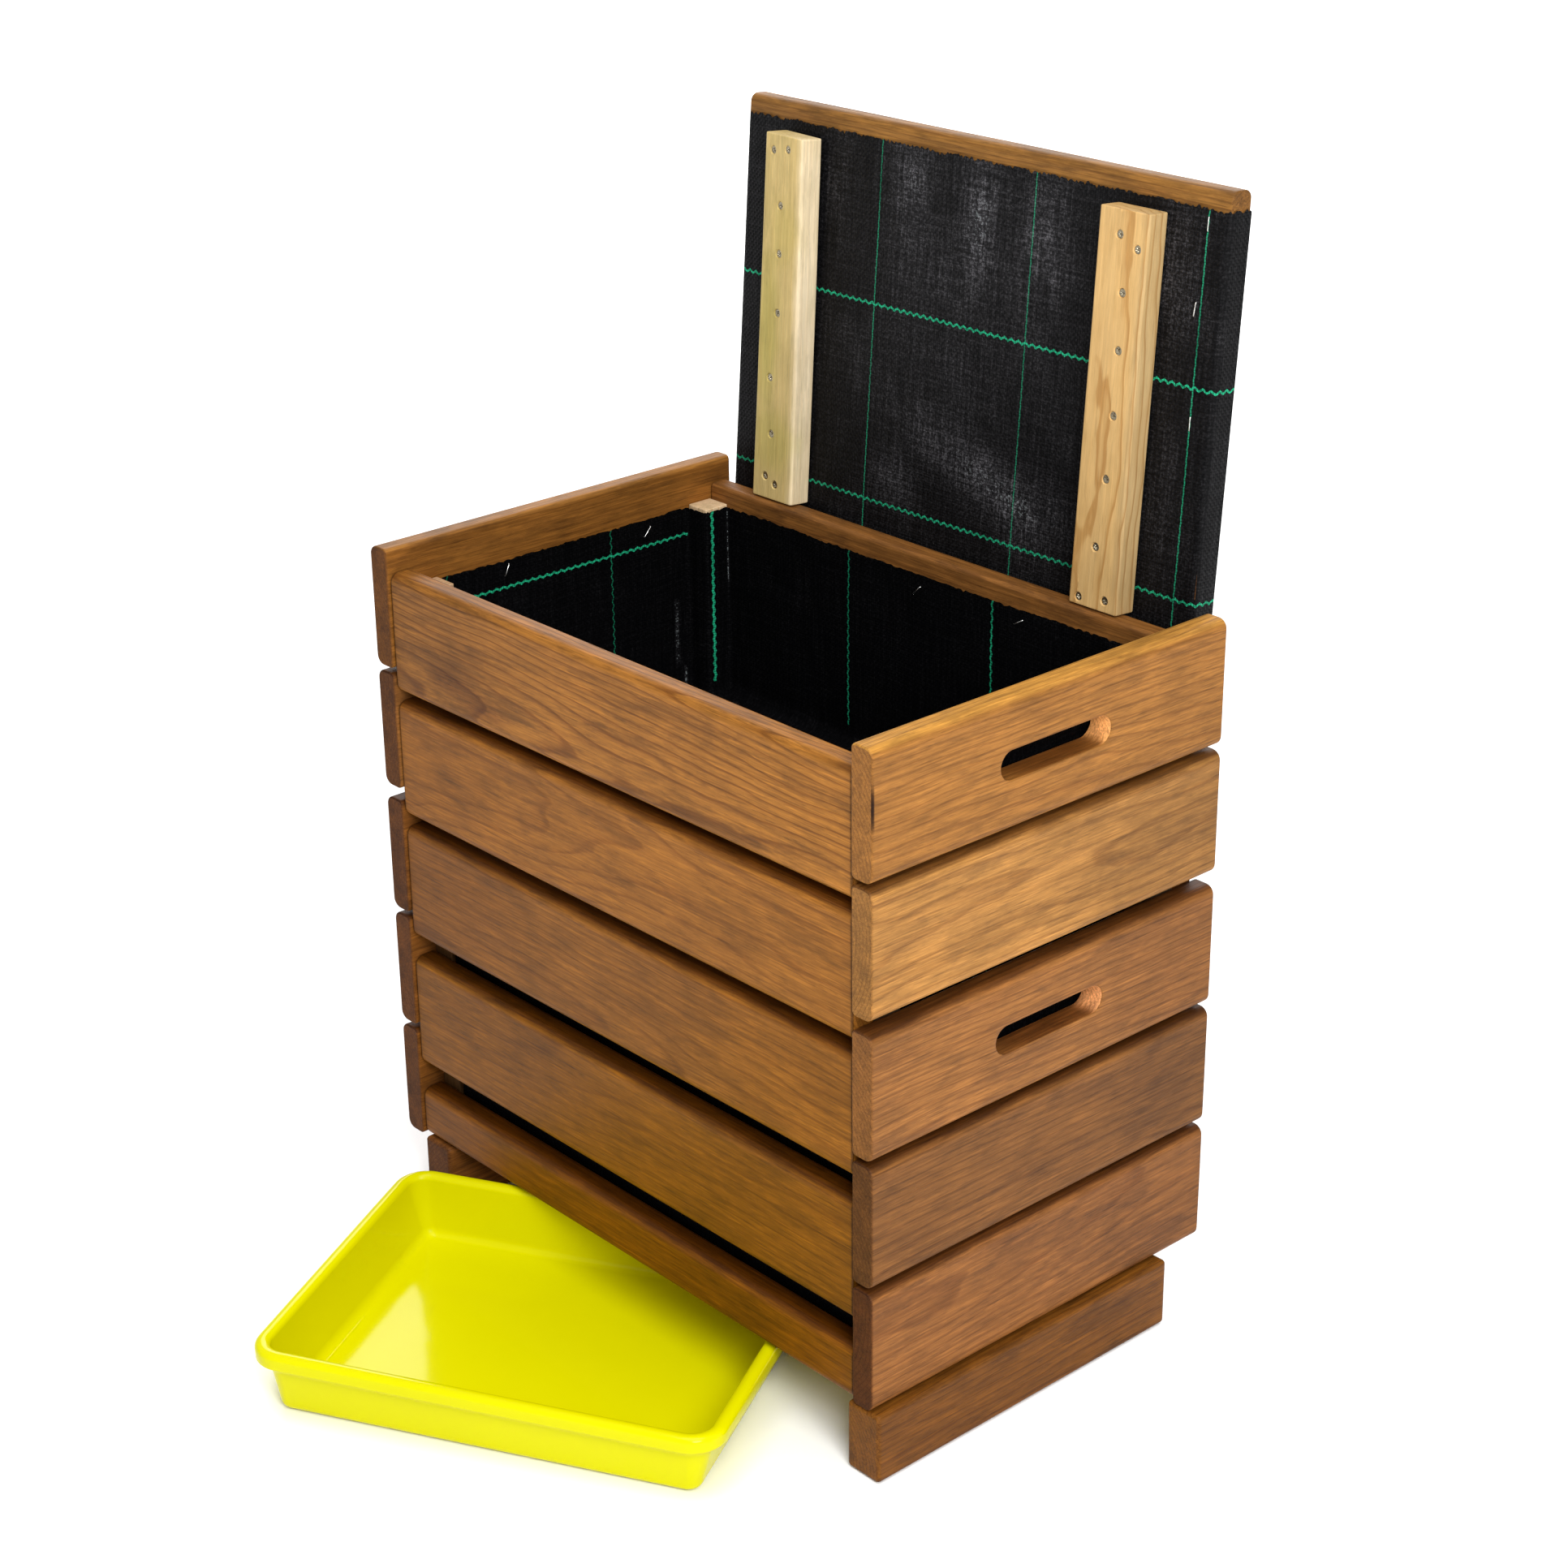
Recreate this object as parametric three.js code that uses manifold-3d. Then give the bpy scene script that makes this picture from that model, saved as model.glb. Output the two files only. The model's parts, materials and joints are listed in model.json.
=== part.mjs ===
// A two-tier timber wormery: a slatted lower body on two runners, a lift-off upper tray,
// a lined lid propped open on the tray's back board, and a plastic drip tray.
// Millimetres. X runs along the front, Y to the back, Z up.
import * as THREE from 'three';
import { mergeVertices } from 'three/addons/utils/BufferGeometryUtils.js';
import Module from 'manifold-3d';

const wasm = await Module();
wasm.setup();

// Driving dimensions of the box
const boxWidth = 545;            // over the outer faces of the side boards
const boxDepth = 339;            // length of a side board
const boardThickness = 20;
const boardHeight = 95;
const railHeight = 42.5;         // half board at the foot of the front and the back
const boardEasing = 7.5;         // rounded long edges
const frontSetback = 2;          // front and back boards lie inside the side boards' ends
const boardEndClearance = 1;     // between a front board's end and a side board
const contactGap = 0.3;          // between pieces that touch
const cutOverrun = 5;

// Heights at which the boards start, and the gaps above each one
const runnerHeight = 55;
const sideGapLower = 4;
const sideGapTier = 10;          // between the lower body and the upper tray
const sideGapUpper = 4;
const frontGapRail = 22.4;
const frontGapLower = 17.7;
const frontGapTier = 8.6;
const frontGapUpper = 7.3;

// Runners: the right one stands proud of the box, the left one lies inside it
const runnerWidth = 32;
const runnerBackInset = 42;      // the runners stop short of the back
const runnerEasing = 7;
const rightRunnerProud = 6.6;
const leftRunnerInset = 22;

// Corner posts
const postAcross = 22;
const postAlong = 23;
const postEasing = 1.5;
const postDrop = 13;             // post tops below the tops of the front and back boards

// Hand slots in the top side board of each tier
const slotLength = 106;
const slotHeight = 21.5;

// Floors
const cleatWidth = 20;
const cleatHeight = 10;
const cleatLift = 0.5;           // above the lower edge of the board that it is fixed to
const cleatEasing = 1.5;
const slatCount = 5;
const slatGap = 14.95;
const slatThickness = 9;
const slatEasing = 2;
const slatEndClearance = 1;

// Liners of woven ground cover
const linerThickness = 1.2;
const linerTopDrop = 3;          // below the post tops

// Lid
const lidPlay = 12.4;            // room for the closed lid to move sideways
const lidBoardThickness = 20;
const lidBoardCount = 3;         // full boards, with one half board at the hinge side
const lidRailHeight = 44;
const lidBoardGap = 3.5;
const lidSideClearance = 1;      // kept to a side board when the lid is closed
const lidMarginBelow = 31.6;     // lid below the battens' lower ends
const lidLeanShare = 4.3 / 180;  // share of half a turn that the propped lid leans back
const coverThickness = 1;
const coverTopMargin = 11;       // bare timber above the cover
const battenWidth = 46;
const battenThickness = 20;
const battenLength = 285.5;
const battenEasing = 2.5;
const leftBattenInset = 45;      // from the lid's left end
const rightBattenInset = 53;     // from the lid's right end
const poleInset = 9.5;           // turning line of the lid, from the back board's inner face
const poleDrop = 12.2;           // turning line below the back board's top
const swingClearance = 0.3;

// Drip tray
const trayLength = 362;          // over the rim
const trayDepth = 275;
const trayHeight = 53.5;
const trayLipWidth = 9;
const trayLipHeight = 12;
const trayLipRound = 3;
const trayWall = 2.5;
const trayDraftAlong = 10;
const trayDraftAcross = 4;
const trayRimRadius = 26;
const trayBaseRadius = 13;
const trayFloorRound = 4;
const trayOffsetX = 0;
const trayOffsetY = -238;
const trayTurnShare = 28.7 / 180; // share of half a turn that the tray is turned
const trayFloorClearance = 0.3;

const arcSteps = 2;
const slotSteps = 6;
const trayCornerSteps = 7;

// Materials
function timber(name, color) {
  return new THREE.MeshStandardMaterial({ name, color, roughness: 0.62, metalness: 0 });
}
const stainedTimber = timber('stained_timber', 0xb0783f);
const darkTimber = timber('dark_timber', 0x8b5e3c);
const bareTimber = timber('bare_timber', 0xd9b67c);
const groundCover = new THREE.MeshStandardMaterial({
  name: 'ground_cover', color: 0x17181b, roughness: 0.8, metalness: 0,
});
const limePlastic = new THREE.MeshStandardMaterial({
  name: 'lime_plastic', color: 0xdfe000, roughness: 0.22, metalness: 0,
});

// Geometry helpers

// Section of a bar with rounded corners, centred on zero
function easedSection(across, up, easing) {
  const x = across / 2 - easing;
  const y = up / 2 - easing;
  const section = new THREE.Shape();
  section.absarc(x, y, easing, 0, Math.PI / 2);
  section.absarc(-x, y, easing, Math.PI / 2, Math.PI);
  section.absarc(-x, -y, easing, Math.PI, Math.PI * 1.5);
  section.absarc(x, -y, easing, Math.PI * 1.5, Math.PI * 2);
  return section;
}

// Upright bar: across X, along Y, standing on z = 0
function uprightBar(across, along, height, easing) {
  return new THREE.ExtrudeGeometry(easedSection(across, along, easing), {
    depth: height, bevelEnabled: false, curveSegments: arcSteps,
  });
}

// Lying bar: length along X, thickness along Y, height along Z, standing on z = 0
function lyingBar(length, thickness, height, easing) {
  const geometry = uprightBar(thickness, height, length, easing);
  geometry.translate(0, height / 2, -length / 2);
  geometry.rotateY(Math.PI / 2);
  geometry.rotateX(Math.PI / 2);
  return geometry;
}

function toManifold(geometry) {
  const bare = geometry.clone();
  bare.deleteAttribute('normal');
  bare.deleteAttribute('uv');
  const merged = mergeVertices(bare);
  return new wasm.Manifold(new wasm.Mesh({
    numProp: 3,
    vertProperties: merged.attributes.position.array,
    triVerts: Uint32Array.from(merged.index.array),
  }));
}

function cut(geometry, tool) {
  const solid = toManifold(geometry).subtract(toManifold(tool)).getMesh();
  const result = new THREE.BufferGeometry();
  result.setAttribute('position', new THREE.BufferAttribute(solid.vertProperties, solid.numProp));
  result.setIndex(new THREE.BufferAttribute(solid.triVerts, 1));
  return result;
}

function place(group, name, geometry, material, x, y, z, turn = 0) {
  const mesh = new THREE.Mesh(geometry, material);
  mesh.name = name;
  mesh.position.set(x, y, z);
  mesh.rotation.z = turn;
  group.add(mesh);
  return mesh;
}

// Planes shared by both tiers
const halfWidth = boxWidth / 2;
const halfDepth = boxDepth / 2;
const innerHalfWidth = halfWidth - boardThickness;
const frontBoardOffset = halfDepth - frontSetback - boardThickness / 2;
const innerHalfDepth = frontBoardOffset - boardThickness / 2;
const frontBoardLength = 2 * (innerHalfWidth - boardEndClearance);
const sides = [['left', -1], ['right', 1]];
const ends = [['front', -1], ['back', 1]];

// Heights of the boards' lower edges, from the ground up
const boardFoot = runnerHeight + contactGap;
const sideFeet = [boardFoot];
for (const gap of [sideGapLower, sideGapLower, sideGapTier, sideGapUpper]) {
  sideFeet.push(sideFeet[sideFeet.length - 1] + boardHeight + gap);
}
const railTop = boardFoot + railHeight;
const frontFeet = [boardFoot, railTop + frontGapRail];
for (const gap of [frontGapLower, frontGapTier, frontGapUpper]) {
  frontFeet.push(frontFeet[frontFeet.length - 1] + boardHeight + gap);
}
const lowerFrontTop = frontFeet[2] + boardHeight;
const upperFrontTop = frontFeet[4] + boardHeight;
const lowerPostTop = lowerFrontTop - postDrop;
const upperPostTop = upperFrontTop - postDrop;

// Side board, with or without its hand slot
function sideBoard(slotted) {
  const board = lyingBar(boxDepth, boardThickness, boardHeight, boardEasing);
  if (!slotted) return board;
  const straight = slotLength - slotHeight;
  const through = boardThickness + 2 * cutOverrun;
  const outline = new THREE.Shape();
  outline.absarc(straight / 2, 0, slotHeight / 2, -Math.PI / 2, Math.PI / 2);
  outline.absarc(-straight / 2, 0, slotHeight / 2, Math.PI / 2, Math.PI * 1.5);
  const slot = new THREE.ExtrudeGeometry(outline, {
    depth: through, bevelEnabled: false, curveSegments: slotSteps,
  });
  slot.translate(0, 0, -through / 2);
  slot.rotateX(Math.PI / 2);
  slot.translate(0, 0, boardHeight / 2);
  return cut(board, slot);
}

function addSideBoards(group, tier, feet) {
  for (const [side, sign] of sides) {
    feet.forEach((foot, i) => {
      const x = sign * (halfWidth - boardThickness / 2);
      const name = `${tier}_${side}_board_${i + 1}`;
      place(group, name, sideBoard(i === 0), stainedTimber, x, 0, foot, Math.PI / 2);
    });
  }
}

function addEndBoards(group, tier, rows) {
  for (const [end, sign] of ends) {
    rows.forEach(([foot, height], i) => {
      const easing = Math.min(boardEasing, height / 2 - contactGap);
      const board = lyingBar(frontBoardLength, boardThickness, height, easing);
      const name = `${tier}_${end}_board_${i + 1}`;
      place(group, name, board, stainedTimber, 0, sign * frontBoardOffset, foot);
    });
  }
}

function addPosts(group, tier, foot, top) {
  const x = innerHalfWidth - contactGap - postAcross / 2;
  const y = innerHalfDepth - contactGap - postAlong / 2;
  for (const [end, endSign] of ends) {
    for (const [side, sideSign] of sides) {
      const post = uprightBar(postAcross, postAlong, top - foot, postEasing);
      place(group, `${tier}_post_${end}_${side}`, post, bareTimber, sideSign * x, endSign * y, foot);
    }
  }
}

// Floor of slats that run front to back on two cleats between the posts
function addFloor(group, tier, boardFootHeight) {
  const clearWidth = 2 * (innerHalfWidth - postAcross - 2 * contactGap);
  const cleatFoot = boardFootHeight + cleatLift;
  const slatFoot = cleatFoot + cleatHeight + contactGap;
  for (const [end, sign] of ends) {
    const cleat = lyingBar(clearWidth, cleatWidth, cleatHeight, cleatEasing);
    const y = sign * (innerHalfDepth - contactGap - cleatWidth / 2);
    place(group, `${tier}_cleat_${end}`, cleat, bareTimber, 0, y, cleatFoot);
  }
  const slatLength = 2 * (innerHalfDepth - slatEndClearance);
  const step = (clearWidth + slatGap) / slatCount;
  const slatWidth = step - slatGap;
  for (let i = 0; i < slatCount; i += 1) {
    const slat = lyingBar(slatLength, slatWidth, slatThickness, slatEasing);
    const x = (i - (slatCount - 1) / 2) * step;
    place(group, `${tier}_slat_${i + 1}`, slat, bareTimber, x, 0, slatFoot, Math.PI / 2);
  }
  return slatFoot + slatThickness;
}

// Plan of a liner that keeps a distance from the boards and goes round the four posts
function linerPlan(distance) {
  const x = innerHalfWidth - distance;
  const y = innerHalfDepth - distance;
  const postX = innerHalfWidth - contactGap - postAcross - distance;
  const postY = innerHalfDepth - contactGap - postAlong - distance;
  const plan = new THREE.Shape();
  plan.moveTo(postX, -y);
  plan.lineTo(postX, -postY);
  plan.lineTo(x, -postY);
  plan.lineTo(x, postY);
  plan.lineTo(postX, postY);
  plan.lineTo(postX, y);
  plan.lineTo(-postX, y);
  plan.lineTo(-postX, postY);
  plan.lineTo(-x, postY);
  plan.lineTo(-x, -postY);
  plan.lineTo(-postX, -postY);
  plan.lineTo(-postX, -y);
  plan.closePath();
  return plan;
}

function addLiner(group, tier, floorTop, postTop) {
  const foot = floorTop + contactGap;
  const height = postTop - linerTopDrop - foot;
  const outer = new THREE.ExtrudeGeometry(linerPlan(contactGap), {
    depth: height, bevelEnabled: false,
  });
  const inner = new THREE.ExtrudeGeometry(linerPlan(contactGap + linerThickness), {
    depth: height + cutOverrun, bevelEnabled: false,
  });
  inner.translate(0, 0, linerThickness);
  place(group, `${tier}_liner`, cut(outer, inner), groundCover, 0, 0, foot);
}

// Lower body
const lowerBody = new THREE.Group();

function addRunner(side, x) {
  const runnerLength = boxDepth - runnerBackInset;
  const runner = lyingBar(runnerLength, runnerWidth, runnerHeight, runnerEasing);
  const y = -halfDepth + runnerLength / 2;
  place(lowerBody, `runner_${side}`, runner, darkTimber, x, y, 0, Math.PI / 2);
}
addRunner('left', -halfWidth + leftRunnerInset + runnerWidth / 2);
addRunner('right', halfWidth + rightRunnerProud - runnerWidth / 2);

addSideBoards(lowerBody, 'lower', [sideFeet[2], sideFeet[1], sideFeet[0]]);
addEndBoards(lowerBody, 'lower', [
  [frontFeet[2], boardHeight],
  [frontFeet[1], boardHeight],
  [frontFeet[0], railHeight],
]);
addPosts(lowerBody, 'lower', boardFoot, lowerPostTop);
const lowerFloorTop = addFloor(lowerBody, 'lower', frontFeet[0]);
addLiner(lowerBody, 'lower', lowerFloorTop, lowerPostTop);

// Upper tray: its posts reach down past its boards and stand on the lower posts
const upperTray = new THREE.Group();
addSideBoards(upperTray, 'upper', [sideFeet[4], sideFeet[3]]);
addEndBoards(upperTray, 'upper', [
  [frontFeet[4], boardHeight],
  [frontFeet[3], boardHeight],
]);
addPosts(upperTray, 'upper', lowerPostTop + contactGap, upperPostTop);
const upperFloorTop = addFloor(upperTray, 'upper', frontFeet[3]);
addLiner(upperTray, 'upper', upperFloorTop, upperPostTop);

// Lid. Its own frame has its origin on the turning line, X along the line, Y out through
// the back of the lid and Z up the lid. The line lies inside the back board's top edge, so
// far from the lid's faces that they pass round the board's two rounded arrises.
const lid = new THREE.Group();
const arrisDrop = poleDrop - boardEasing;
const rearArrisReach = Math.hypot(boardThickness - boardEasing - poleInset, arrisDrop) + boardEasing;
const innerArrisReach = Math.hypot(poleInset - boardEasing, arrisDrop) + boardEasing;
const coverFace = rearArrisReach + swingClearance;
const battenFoot = Math.max(innerArrisReach, poleDrop) + swingClearance;
const lidFoot = battenFoot - lidMarginBelow;
const lidBoardFace = coverFace + coverThickness + contactGap;
const lidWrap = coverThickness + contactGap;
const lidLength = 2 * (innerHalfWidth - lidSideClearance - lidWrap) - lidPlay;
const lidOffset = -lidPlay / 2;
const lidHeight = lidRailHeight + lidBoardCount * (lidBoardGap + boardHeight);
lid.position.set(lidOffset, innerHalfDepth + poleInset, upperFrontTop - poleDrop);
lid.rotation.x = -lidLeanShare * Math.PI;

function addLidBoards() {
  const y = lidBoardFace + lidBoardThickness / 2;
  const rail = lyingBar(lidLength, lidBoardThickness, lidRailHeight, boardEasing);
  place(lid, 'lid_board_1', rail, stainedTimber, 0, y, lidFoot);
  for (let i = 0; i < lidBoardCount; i += 1) {
    const board = lyingBar(lidLength, lidBoardThickness, boardHeight, boardEasing);
    const foot = lidFoot + lidRailHeight + lidBoardGap + i * (boardHeight + lidBoardGap);
    place(lid, `lid_board_${i + 2}`, board, stainedTimber, 0, y, foot);
  }
}

// Cover of woven ground cover: over the lid's inner face and round both ends
function addLidCover() {
  const outerX = lidLength / 2 + lidWrap;
  const innerX = lidLength / 2 + contactGap;
  const back = lidBoardFace + lidBoardThickness;
  const plan = new THREE.Shape();
  plan.moveTo(-outerX, coverFace);
  plan.lineTo(outerX, coverFace);
  plan.lineTo(outerX, back);
  plan.lineTo(innerX, back);
  plan.lineTo(innerX, lidBoardFace - contactGap);
  plan.lineTo(-innerX, lidBoardFace - contactGap);
  plan.lineTo(-innerX, back);
  plan.lineTo(-outerX, back);
  plan.closePath();
  const cover = new THREE.ExtrudeGeometry(plan, {
    depth: lidHeight - coverTopMargin, bevelEnabled: false,
  });
  place(lid, 'lid_cover', cover, groundCover, 0, 0, lidFoot);
}

function addBatten(side, x) {
  const batten = uprightBar(battenWidth, battenThickness, battenLength, battenEasing);
  const y = coverFace - contactGap - battenThickness / 2;
  place(lid, `lid_batten_${side}`, batten, bareTimber, x, y, battenFoot);
}

addLidBoards();
addLidCover();
addBatten('left', -lidLength / 2 + leftBattenInset + battenWidth / 2);
addBatten('right', lidLength / 2 - rightBattenInset - battenWidth / 2);
upperTray.add(lid);

// Drip tray: rings of a rounded rectangle, from the underside's middle out over the rim
// and down to the middle of the floor
function roundedRing(halfX, halfY, radius, z) {
  const ring = [];
  for (let corner = 0; corner < 4; corner += 1) {
    const signX = corner === 0 || corner === 3 ? 1 : -1;
    const signY = corner < 2 ? 1 : -1;
    for (let i = 0; i <= trayCornerSteps; i += 1) {
      const angle = (corner + i / trayCornerSteps) * Math.PI / 2;
      const x = signX * (halfX - radius) + radius * Math.cos(angle);
      const y = signY * (halfY - radius) + radius * Math.sin(angle);
      ring.push([x, y, z]);
    }
  }
  return ring;
}

function lofted(rings) {
  const count = rings[0].length;
  const last = (rings.length - 1) * count;
  const points = rings.flat();
  const floorCentre = points.length + 1;
  const triangles = [];
  for (let r = 0; r < rings.length - 1; r += 1) {
    for (let i = 0; i < count; i += 1) {
      const a = r * count + i;
      const b = r * count + (i + 1) % count;
      triangles.push(a, b, b + count, a, b + count, a + count);
    }
  }
  points.push([0, 0, rings[0][0][2]], [0, 0, rings[rings.length - 1][0][2]]);
  for (let i = 0; i < count; i += 1) {
    const next = (i + 1) % count;
    triangles.push(floorCentre - 1, next, i, floorCentre, last + i, last + next);
  }
  const geometry = new THREE.BufferGeometry();
  geometry.setAttribute('position', new THREE.Float32BufferAttribute(points.flat(), 3));
  geometry.setIndex(triangles);
  return geometry;
}

function dripTray() {
  const wallX = trayLength / 2 - trayLipWidth;
  const wallY = trayDepth / 2 - trayLipWidth;
  const lipFoot = trayHeight - trayLipHeight;
  const wallRadius = trayRimRadius - trayLipWidth;
  // Ring on the tapering wall, a share of the way up, set in by an inset
  const onWall = (z, inset) => {
    const share = z / lipFoot;
    const radius = trayBaseRadius + (wallRadius - trayBaseRadius) * share - inset;
    const x = wallX - trayDraftAlong * (1 - share) - inset;
    const y = wallY - trayDraftAcross * (1 - share) - inset;
    return roundedRing(x, y, radius, z);
  };
  const onLip = (outset, z) => (
    roundedRing(wallX + outset, wallY + outset, wallRadius + outset, z)
  );
  return lofted([
    onWall(0, trayFloorRound),
    onWall(trayFloorRound, 0),
    onWall(lipFoot, 0),
    onLip(trayLipWidth - trayLipRound, lipFoot),
    onLip(trayLipWidth, lipFoot + trayLipRound),
    onLip(trayLipWidth, trayHeight - trayLipRound),
    onLip(trayLipWidth - trayLipRound, trayHeight),
    onLip(trayLipRound - trayWall, trayHeight),
    onLip(-trayWall, trayHeight - trayLipRound),
    onWall(trayWall + trayFloorRound, trayWall),
    onWall(trayWall, trayWall + trayFloorRound),
  ]);
}

const wormery = new THREE.Group();
wormery.add(lowerBody, upperTray);
const trayTurn = trayTurnShare * Math.PI;
const trayGeometry = dripTray();
place(
  wormery, 'drip_tray', trayGeometry, limePlastic,
  trayOffsetX, trayOffsetY, trayFloorClearance, trayTurn,
);

// The origin is the middle of the whole object's footprint, on the ground
const extent = new THREE.Box3().setFromObject(wormery, true);
const middle = extent.getCenter(new THREE.Vector3());
wormery.position.set(-middle.x, -middle.y, -extent.min.z);

export default wormery;
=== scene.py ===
"""Looks of the two-tier timber wormery: fine shapes, finishes, light and camera.

Measurements are in millimetres and are turned into metres by MM. X runs along the front,
Y to the back and Z up. Every piece sits at the origin with its place in its mesh.
"""

import json
import math
import zlib

import bpy
import numpy as np
from mathutils import Matrix, Vector

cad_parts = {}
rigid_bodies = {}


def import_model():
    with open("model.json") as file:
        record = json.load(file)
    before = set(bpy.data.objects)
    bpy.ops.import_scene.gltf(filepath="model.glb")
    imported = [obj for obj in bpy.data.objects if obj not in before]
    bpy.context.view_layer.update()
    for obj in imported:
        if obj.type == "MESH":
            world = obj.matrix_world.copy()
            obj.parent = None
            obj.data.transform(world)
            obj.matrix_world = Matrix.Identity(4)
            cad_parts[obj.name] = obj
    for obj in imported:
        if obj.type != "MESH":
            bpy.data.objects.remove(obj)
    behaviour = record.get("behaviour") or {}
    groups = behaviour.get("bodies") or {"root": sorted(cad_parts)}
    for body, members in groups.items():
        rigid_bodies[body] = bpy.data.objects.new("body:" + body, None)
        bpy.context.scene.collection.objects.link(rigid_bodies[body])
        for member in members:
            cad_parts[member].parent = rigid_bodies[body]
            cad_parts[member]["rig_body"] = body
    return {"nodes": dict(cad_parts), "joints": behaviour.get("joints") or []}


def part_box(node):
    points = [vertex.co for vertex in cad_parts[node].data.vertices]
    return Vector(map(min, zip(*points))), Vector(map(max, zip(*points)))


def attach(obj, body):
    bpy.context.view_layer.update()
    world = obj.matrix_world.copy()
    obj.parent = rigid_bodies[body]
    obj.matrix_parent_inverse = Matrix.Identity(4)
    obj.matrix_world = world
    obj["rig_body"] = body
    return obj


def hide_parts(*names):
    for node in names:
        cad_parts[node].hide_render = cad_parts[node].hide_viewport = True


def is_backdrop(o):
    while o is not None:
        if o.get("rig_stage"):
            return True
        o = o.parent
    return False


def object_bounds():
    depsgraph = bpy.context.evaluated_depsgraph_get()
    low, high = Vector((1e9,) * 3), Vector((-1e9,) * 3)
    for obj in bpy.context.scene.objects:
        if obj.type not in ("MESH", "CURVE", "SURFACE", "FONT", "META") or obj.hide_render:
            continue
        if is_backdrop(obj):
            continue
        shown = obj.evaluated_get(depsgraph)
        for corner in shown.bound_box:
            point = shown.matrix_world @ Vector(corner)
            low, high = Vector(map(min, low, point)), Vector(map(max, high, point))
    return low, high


MM = 0.001
LID_LEAN = 4.3  # degrees that the propped lid leans back
TRAY_TURN = 28.7  # degrees that the drip tray is turned

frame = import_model()
frame_low, frame_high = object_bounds()
nodes = frame["nodes"]
joints = {joint["name"]: joint for joint in frame["joints"]}
body_of = {name: node["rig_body"] for name, node in nodes.items()}


# Colours and node trees

ALL = slice(None)  # every output of a node
COLOURS = {"out": 2, "data_type": "RGBA"}  # settings of a mix of colours
SMOOTH = {"interpolation_type": "SMOOTHSTEP"}  # setting of a range with soft ends


def linear(text):
    """Linear RGBA of an sRGB colour written as six hex digits."""
    values = np.array([int(text[start : start + 2], 16) / 255 for start in (0, 2, 4)])
    curve = np.where(values <= 0.04045, values / 12.92, ((values + 0.055) / 1.055) ** 2.4)
    return (*curve.tolist(), 1.0)


def add(tree, kind, inputs=(), out=0, **settings):
    """Adds a node with its settings to a tree and gives back one of its outputs, or all of
    them. Inputs come in order, or by name or number: an output is linked, and a value is
    set on the node's own socket."""
    node = tree.nodes.new("ShaderNode" + kind)
    for key, value in settings.items():
        setattr(node, key, value)
    for key, value in inputs.items() if isinstance(inputs, dict) else enumerate(inputs):
        if isinstance(value, bpy.types.NodeSocket):
            tree.links.new(value, node.inputs[key])
        else:
            node.inputs[key].default_value = value
    return node.outputs[out] if node.outputs else None


def surface(name, colour):
    """New material with an empty tree."""
    material = bpy.data.materials.new(name)
    material.use_nodes = True
    material.diffuse_color = linear(colour)
    material.node_tree.nodes.clear()
    return material, material.node_tree


def patterns(tree, vector, table, out=0):
    """Noise patterns of a vector in millimetres. Each row gives the cycles a millimetre
    along its three axes, the detail, the roughness and, for a pattern that is cut to a
    range, (lowest, highest, value at the lowest, value at the highest)."""
    made = []
    for cycles, detail, roughness, *cut in table:
        stretched = add(tree, "VectorMath", (vector, cycles), operation="MULTIPLY")
        inputs = {"Vector": stretched, "Scale": 1.0, "Detail": detail, "Roughness": roughness}
        pattern = add(tree, "TexNoise", inputs, out)
        if cut:
            pattern = add(tree, "MapRange", (pattern, *cut[0]), **SMOOTH)
        made.append(pattern)
    return made


def finished(tree, looks, bump=None):
    """Ends a tree with its bump, from (height, strength, depth in millimetres), its shader
    and its output."""
    if bump:
        inputs = {"Height": bump[0], "Strength": bump[1], "Distance": bump[2] * MM}
        looks = {**looks, "Normal": add(tree, "Bump", inputs)}
    add(tree, "OutputMaterial", (add(tree, "BsdfPrincipled", looks),))


# How dark a growth ring is from its start to its end, as (share of its width, darkness)
RING_STOPS = [(0, 0.1), (0.3, 0), (0.65, 0.12), (0.8, 0.5), (0.88, 1), (0.95, 0.9), (1, 0.1)]


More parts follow.
